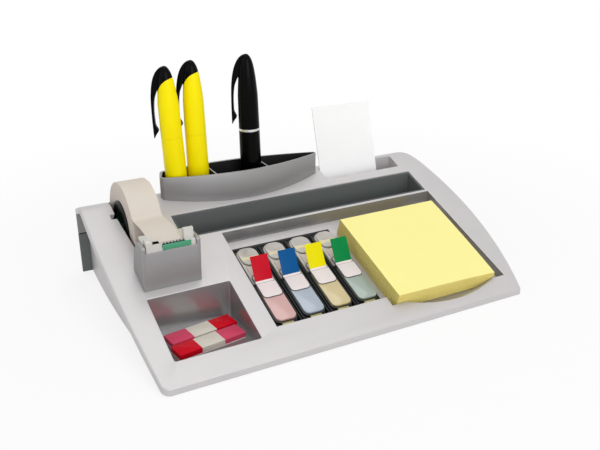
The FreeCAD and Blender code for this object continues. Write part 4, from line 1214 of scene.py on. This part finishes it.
@dataclass
class Markers(SubAssembly):
    """Two strips of small paper markers, each three stacks on a backing strip."""

    length: float = 43.0
    width: float = 11.8
    height: float = 3.7
    floor: float = 2.6
    turn: float = 8.5
    gap: float = 0.5
    base: float = 0.6
    layers: int = 5
    inset: float = 0.1      # the layers are this much narrower than the strip
    share: float = 0.96     # of a layer's height is paper, the rest a gap
    slip: float = 0.12      # how far the layers slip past each other
    lip: float = 0.4        # width of the backing that shows between the stacks

    def stack(self, name: str, order: Sequence[Finish]) -> Piece:
        """Stack thin layers on one backing strip.

        Args:
            name: The strip's name.
            order: The stacks' finishes from the left.

        Returns:
            The strip, its middle at the origin.
        """
        half, side = self.length / 2.0, self.width / 2.0
        third = self.length / 3.0
        step = (self.height - self.base) / self.layers
        pieces = [slab(name, (-half, -side, 0.0), (half, side, self.base), 0.3)]
        for spot, paper in enumerate(order):
            left = -half + third * spot + (self.gap / 2.0 if spot else 0.0)
            right = left + third - self.gap * (0.5 if spot == 0 else 0.75)
            layer = slab("layer", (left, self.inset - side, 0.0),
                         (right, side - self.inset, step * self.share), 0.35, 0.06)
            give(layer, paper)
            for level in range(self.layers):
                pieces.append(copy_piece(layer, "layer"))
                shift = self.slip * math.sin(level * 2.1 + spot)
                place(pieces[-1], tilted((shift * 0.5, shift, self.base + level * step), 0.0))
            bpy.data.objects.remove(layer)
        for middle in (-third / 2.0, third / 2.0):
            pieces.append(slab("lip", (middle - self.lip / 2.0, 0.15 - side, self.base),
                               (middle + self.lip / 2.0, side - 0.15, self.height - 0.05)))
        for backing in (pieces[0], *pieces[-2:]):
            give(backing, MARKER_BACKING)
        return join(pieces, name)

    def build(self) -> None:
        """Make both strips and turn them on the well's floor."""
        for run in MarkerRun:
            body, node, centre, order = run.value
            self.dress(self.stack(f"{body}_stack", order), node, "marker_paper", body=body,
                       at=tilted((*centre, self.floor), self.turn, "Z"))


@dataclass
class IndexCard(SubAssembly):
    """A bare white card that stands in the slot and bows slightly."""

    body = "card"
    wide: float = 48.5
    high: float = 69.0
    thick: float = 0.8
    left: float = 44.5
    depth: float = 51.85
    floor: float = 31.0
    lean: float = 16.5
    bow: float = 0.35

    def build(self) -> None:
        """Model the card flat, bow it and lean it back."""
        card = slab("bare_card", (0.0, 0.0, 0.0), (self.wide, self.thick, self.high))
        subdivide(card, 9)
        for vertex in card.data.vertices:
            across = vertex.co.x / MM / self.wide * 2.0 - 1.0
            up = vertex.co.z / MM / self.high
            vertex.co.y += self.bow * (1.0 - across * across) * up * MM
        rise = self.thick * math.sin(math.radians(self.lean))
        smooth(card, 50.0)
        self.dress(card, "index_card", "card_paper", CARD_STOCK,
                   at=tilted((self.left, self.depth, self.floor + rise), -self.lean))


class PenKind(Enum):
    """The pens: body, place (x, y) and lean in degrees, and the cap's extra height."""

    LEFT = ("highlighter_1", -63.8, 60.9, 2.6, 0.0)
    RIGHT = ("highlighter_2", -48.5, 62.0, 1.0, 2.0)
    BLACK = ("black_pen", -10.8, 57.85, 1.2, 3.4)


@dataclass
class Pens(SubAssembly):
    """Two yellow highlighters and a black pen in the cup."""

    floor: float = 32.4
    radius: float = 7.3
    waist: float = 7.1              # the barrel's radius where the cap sits on it
    joint: float = 61.5             # height where the cap begins
    shoulder: float = 84.0
    top: float = 108.2
    ring_height: float = 1.8
    taper_from: float = 36.0        # the barrel narrows to the waist from here up
    wall: float = 1.3
    tongue: float = 9.0             # how far the barrel's end reaches into the cap
    cap_wall: float = 1.2
    cap_bore: float = 10.0          # the cap's hollow above the joint
    cap_gap: float = 0.12
    turn: float = -27.9
    seam_at: float = 5.6            # the crown's seam is an arc about this X
    seam_height: float = 14.0       # its rise
    seam_reach: float = 11.8        # and its run towards the clip
    seam_rise: float = 2.8          # its centre above the shoulder
    clip_width: float = 3.6
    # the cap's (radius, height) from the shoulder up
    profile: Tuple[Pair, ...] = (
        (6.8, 84.0), (6.5, 87.0), (6.15, 90.0), (5.8, 93.0), (5.4, 96.0), (4.97, 99.0),
        (4.45, 101.5), (3.9, 103.5), (3.3, 105.0), (2.6, 106.3), (1.75, 107.35), (0.9, 108.0))
    # the clip's outer and inner face: distance from the axis and drop from the top
    clip_faces: Tuple[Tuple[float, ...], ...] = (
        (0.6, 0.2, 0.6, 6.0), (3.1, 1.1, 1.6, 9.0), (5.5, 3.2, 3.0, 11.6), (7.4, 6.3, 4.6, 13.6),
        (8.9, 10.4, 5.9, 15.4), (10.0, 15.5, 7.2, 17.9), (10.7, 21.0, 8.6, 21.8),
        (11.1, 28.2, 9.5, 28.2), (11.3, 35.0, 9.7, 35.0), (11.35, 39.0, 9.5, 38.8),
        (11.4, 42.4, 8.0, 42.2), (11.4, 44.6, 9.5, 44.5), (11.4, 47.2, 11.0, 47.1))

    def stand(self, kind: PenKind) -> Matrix:
        """Where a pen stands: turned to its clip's direction, leaned and set in the cup.

        Args:
            kind: Which pen.

        Returns:
            The matrix in metres.
        """
        _, x, y, lean, _ = kind.value
        lift = self.radius * math.sin(math.radians(lean))
        return (tilted((x, y, self.floor + lift), -lean, "Y")
                @ Matrix.Rotation(math.radians(self.turn), 4, "Z"))

    def cap_outline(self, rise: float) -> List[Pair]:
        """Outline of the closed cap, from its lip round the top to its inside.

        Args:
            rise: How much taller the cap is than the left pen's.

        Returns:
            Points as (radius, height) in millimetres.
        """
        lip = self.joint + self.cap_gap
        inner, bore = self.waist - self.cap_wall, self.joint + self.cap_bore
        outline = [(self.waist, lip), (self.waist, self.joint + 0.5)]
        outline += [(radius, height + rise * min(1.0, (height - self.shoulder) / 8.0))
                    for radius, height in (*self.profile, (0.0, self.top))]
        return outline + [(0.0, bore), (inner, bore), (inner, lip), (self.waist, lip)]

    def split(self, cap: Piece, crown: Piece, rise: float) -> None:
        """Part a turned cap and its copy along the arched seam.

        Args:
            cap: What is kept below the seam.
            crown: What is kept above it.
            rise: How much taller the cap is.
        """
        low = self.shoulder + self.seam_rise + rise
        above = slab("crown_side", (-20.0, -20.0, low), (20.0, 20.0, low + 60.0))
        arch = primitive(
            "cylinder", "seam_arch", vertices=128, radius=self.seam_height * MM, depth=60.0 * MM,
            location=(self.seam_at * MM, 0.0, low * MM), rotation=(math.pi / 2.0, 0.0, 0.0),
            scale=(self.seam_reach / self.seam_height, 1.0, 1.0))
        carve(above, arch)
        carve(cap, above, keep=True)
        carve(crown, above, "INTERSECT")
        for piece in (cap, crown):
            smooth(piece, 40.0)

    def clip(self, rise: float) -> Piece:
        """Model the spring clip as a bent, tapering bar with a hooked end.

        Args:
            rise: How much taller the cap is.

        Returns:
            The clip, pointing along -X.
        """
        top = self.top + rise
        stations = [(-out, top - drop, -inner, top - lower, self.clip_width / 2.0)
                    for out, drop, inner, lower in self.clip_faces]
        clip = ribbon("pen_clip", flow(stations, 4))
        apply_modifier(clip, "BEVEL", width=0.4 * MM, segments=2, limit_method="ANGLE",
                       angle_limit=math.radians(50.0))
        smooth(clip, 60.0)
        return clip

    def build(self) -> None:
        """Model each pen's barrel, cap, crown and clip, and the black pen's ring."""
        waist, inner, tip = self.waist, self.waist - self.wall, self.joint + self.tongue
        for kind in PenKind:
            body, _, _, _, rise = kind.value
            black = kind is PenKind.BLACK
            plastic = PEN_BLACK if black else PEN_YELLOW
            slot = "pen_black" if black else "pen_yellow"
            joint = self.joint - (self.ring_height if black else 0.0)
            barrel = lathe(f"{body}_tube", [
                (0.0, 0.0), (self.radius - 1.0, 0.0), (self.radius - 0.3, 0.25),
                (self.radius, 0.9), (self.radius, self.taper_from), (waist, joint - 0.2),
                (waist - 0.15, joint), (inner, joint), (inner, tip), (0.0, tip)])
            cap = lathe(f"{body}_cap_moulding", self.cap_outline(rise))
            crown = copy_piece(cap, f"{body}_crown_half")
            self.split(cap, crown, rise)
            top = join([crown, self.clip(rise)], f"{body}_crown_clip")
            pieces = [(barrel, "barrel", slot, plastic), (cap, "cap", slot, plastic),
                      (top, "crown", "pen_black", PEN_BLACK)]
            if black:
                ring = lathe(f"{body}_band", [
                    (waist - 1.25, joint), (waist, joint + 0.1), (waist + 0.05, joint + 0.9),
                    (waist, self.joint - 0.1), (waist - 1.25, self.joint),
                    (waist - 1.25, joint)])
                pieces.append((ring, "ring", "pen_ring_metal", RING_PLATE))
            for piece, part, its_slot, finish in pieces:
                self.dress(piece, f"{body}_{part}", its_slot, finish, at=self.stand(kind),
                           body=body)


# ---------------------------------------------------------------- studio
@dataclass
class Studio:
    """Pale floor, soft lamps and the camera; its lengths are metres."""

    camera_at: Triple = (-0.21933, -0.40837, 0.23917)
    elevation: float = 23.2208
    heading: float = 27.888
    focal_pixels: float = 764.41
    image_width: float = 600.0
    sensor: float = 36.0
    sky: float = 0.5
    floor_size: float = 12.0
    floor_drop: float = 0.0002
    shadow_from: float = 0.16       # from the object's middle
    shadow_to: float = 0.45
    near_white: float = 0.8

    def camera(self) -> None:
        """Set the camera at the object's left front, looking slightly down."""
        data = bpy.data.cameras.new("camera")
        data.sensor_fit = "HORIZONTAL"
        data.sensor_width = self.sensor
        data.lens = self.focal_pixels / self.image_width * self.sensor
        data.clip_start = 0.01
        camera = bpy.data.objects.new("camera", data)
        camera.location = self.camera_at
        camera.rotation_euler = (math.radians(90.0 - self.elevation), 0.0,
                                 -math.radians(self.heading))
        bpy.context.scene.collection.objects.link(camera)
        bpy.context.scene.camera = camera

    def white_rays(self, tree: Tree) -> Socket:
        """Tell the rays that see the studio from those that light the object.

        Args:
            tree: The node tree.

        Returns:
            1 for camera, glossy and transmission rays, and 0 for the rest.
        """
        path = add_node(tree, "ShaderNodeLightPath").outputs
        seen = path["Is Camera Ray"]
        for kind in ("Is Glossy Ray", "Is Transmission Ray"):
            seen = add_node(tree, "ShaderNodeMath", {0: seen, 1: path[kind]},
                            operation="MAXIMUM").outputs[0]
        return seen

    def world(self) -> None:
        """White where it is looked at, and a soft grey sky for light."""
        world = bpy.data.worlds.new("studio")
        world.use_nodes = True
        tree = world.node_tree
        tree.nodes.clear()
        light, white = (
            add_node(tree, "ShaderNodeBackground", {"Color": WHITE, "Strength": strength})
            for strength in (self.sky, 1.0))
        mixed = add_node(tree, "ShaderNodeMixShader", {
            0: self.white_rays(tree), 1: light.outputs[0], 2: white.outputs[0]})
        add_node(tree, "ShaderNodeOutputWorld", {"Surface": mixed.outputs[0]})
        bpy.context.scene.world = world

    def floor(self) -> None:
        """A wide pale floor that keeps a faint shadow under the object."""
        floor = primitive("plane", "studio_floor", size=self.floor_size,
                          location=(0.0, 0.0, -self.floor_drop))
        material = bpy.data.materials.new("studio_paper")
        material.use_nodes = True
        tree = material.node_tree
        shader = tree.nodes["Principled BSDF"]
        set_inputs(shader, {"Base Color": linear("#F0F0F0"), "Roughness": 0.9})
        white = add_node(tree, "ShaderNodeEmission", {"Color": WHITE, "Strength": 1.0})
        away = add_node(tree, "ShaderNodeVectorMath", {0: object_space(tree)},
                        operation="LENGTH")
        fade = add_node(tree, "ShaderNodeMapRange", {
            "Value": away.outputs["Value"], "From Min": self.shadow_from,
            "From Max": self.shadow_to, "To Min": self.near_white, "To Max": 1.0},
            interpolation_type="SMOOTHSTEP")
        share = add_node(tree, "ShaderNodeMath", {
            0: self.white_rays(tree), 1: fade.outputs["Result"]}, operation="MULTIPLY")
        mixed = add_node(tree, "ShaderNodeMixShader", {
            0: share.outputs[0], 1: shader.outputs[0], 2: white.outputs[0]})
        set_inputs(tree.nodes["Material Output"], {"Surface": mixed.outputs[0]})
        floor.data.materials.append(material)

    def lamp(self, name: str, at: Triple, aim: Triple, size: float, watts: float) -> None:
        """Hang one soft square lamp.

        Args:
            name: The lamp's name.
            at: Its place.
            aim: The point it faces.
            size: Its side.
            watts: Its power.
        """
        data = bpy.data.lights.new(name, "AREA")
        data.size = size
        data.energy = watts
        lamp = bpy.data.objects.new(name, data)
        lamp.location = at
        lamp.rotation_euler = (Vector(aim) - Vector(at)).to_track_quat("-Z", "Y").to_euler()
        bpy.context.scene.collection.objects.link(lamp)

    def build(self) -> None:
        """Make the camera, the world, the floor and the lamps."""
        self.camera()
        self.world()
        self.floor()
        self.lamp("overhead_softbox", (0.05, 0.10, 1.3), (0.0, 0.0, 0.0), 1.1, 5.7)
        self.lamp("left_softbox", (-1.1, -0.3, 0.7), (0.0, 0.0, 0.03), 0.8, 1.1)
        self.lamp("front_softbox", (0.0, -1.2, 0.55), (0.0, 0.0, 0.03), 0.9, 7.0)
        bpy.context.scene.view_settings.view_transform = "Standard"


def main() -> None:
    """Build the studio and every group of pieces in order."""
    logging.basicConfig(level=logging.INFO, format="%(name)s: %(message)s")
    Studio().build()
    groups: List[SubAssembly] = [Housing(), Liners(), PenCup(), Cutter(), TapeSpool(), Drawer(),
                                 NotePad(), FlagDispensers(), Markers(), IndexCard(), Pens()]
    for group in groups:
        LOG.info("building %s", type(group).__name__)
        group.build()


if __name__ == "__main__":
    main()
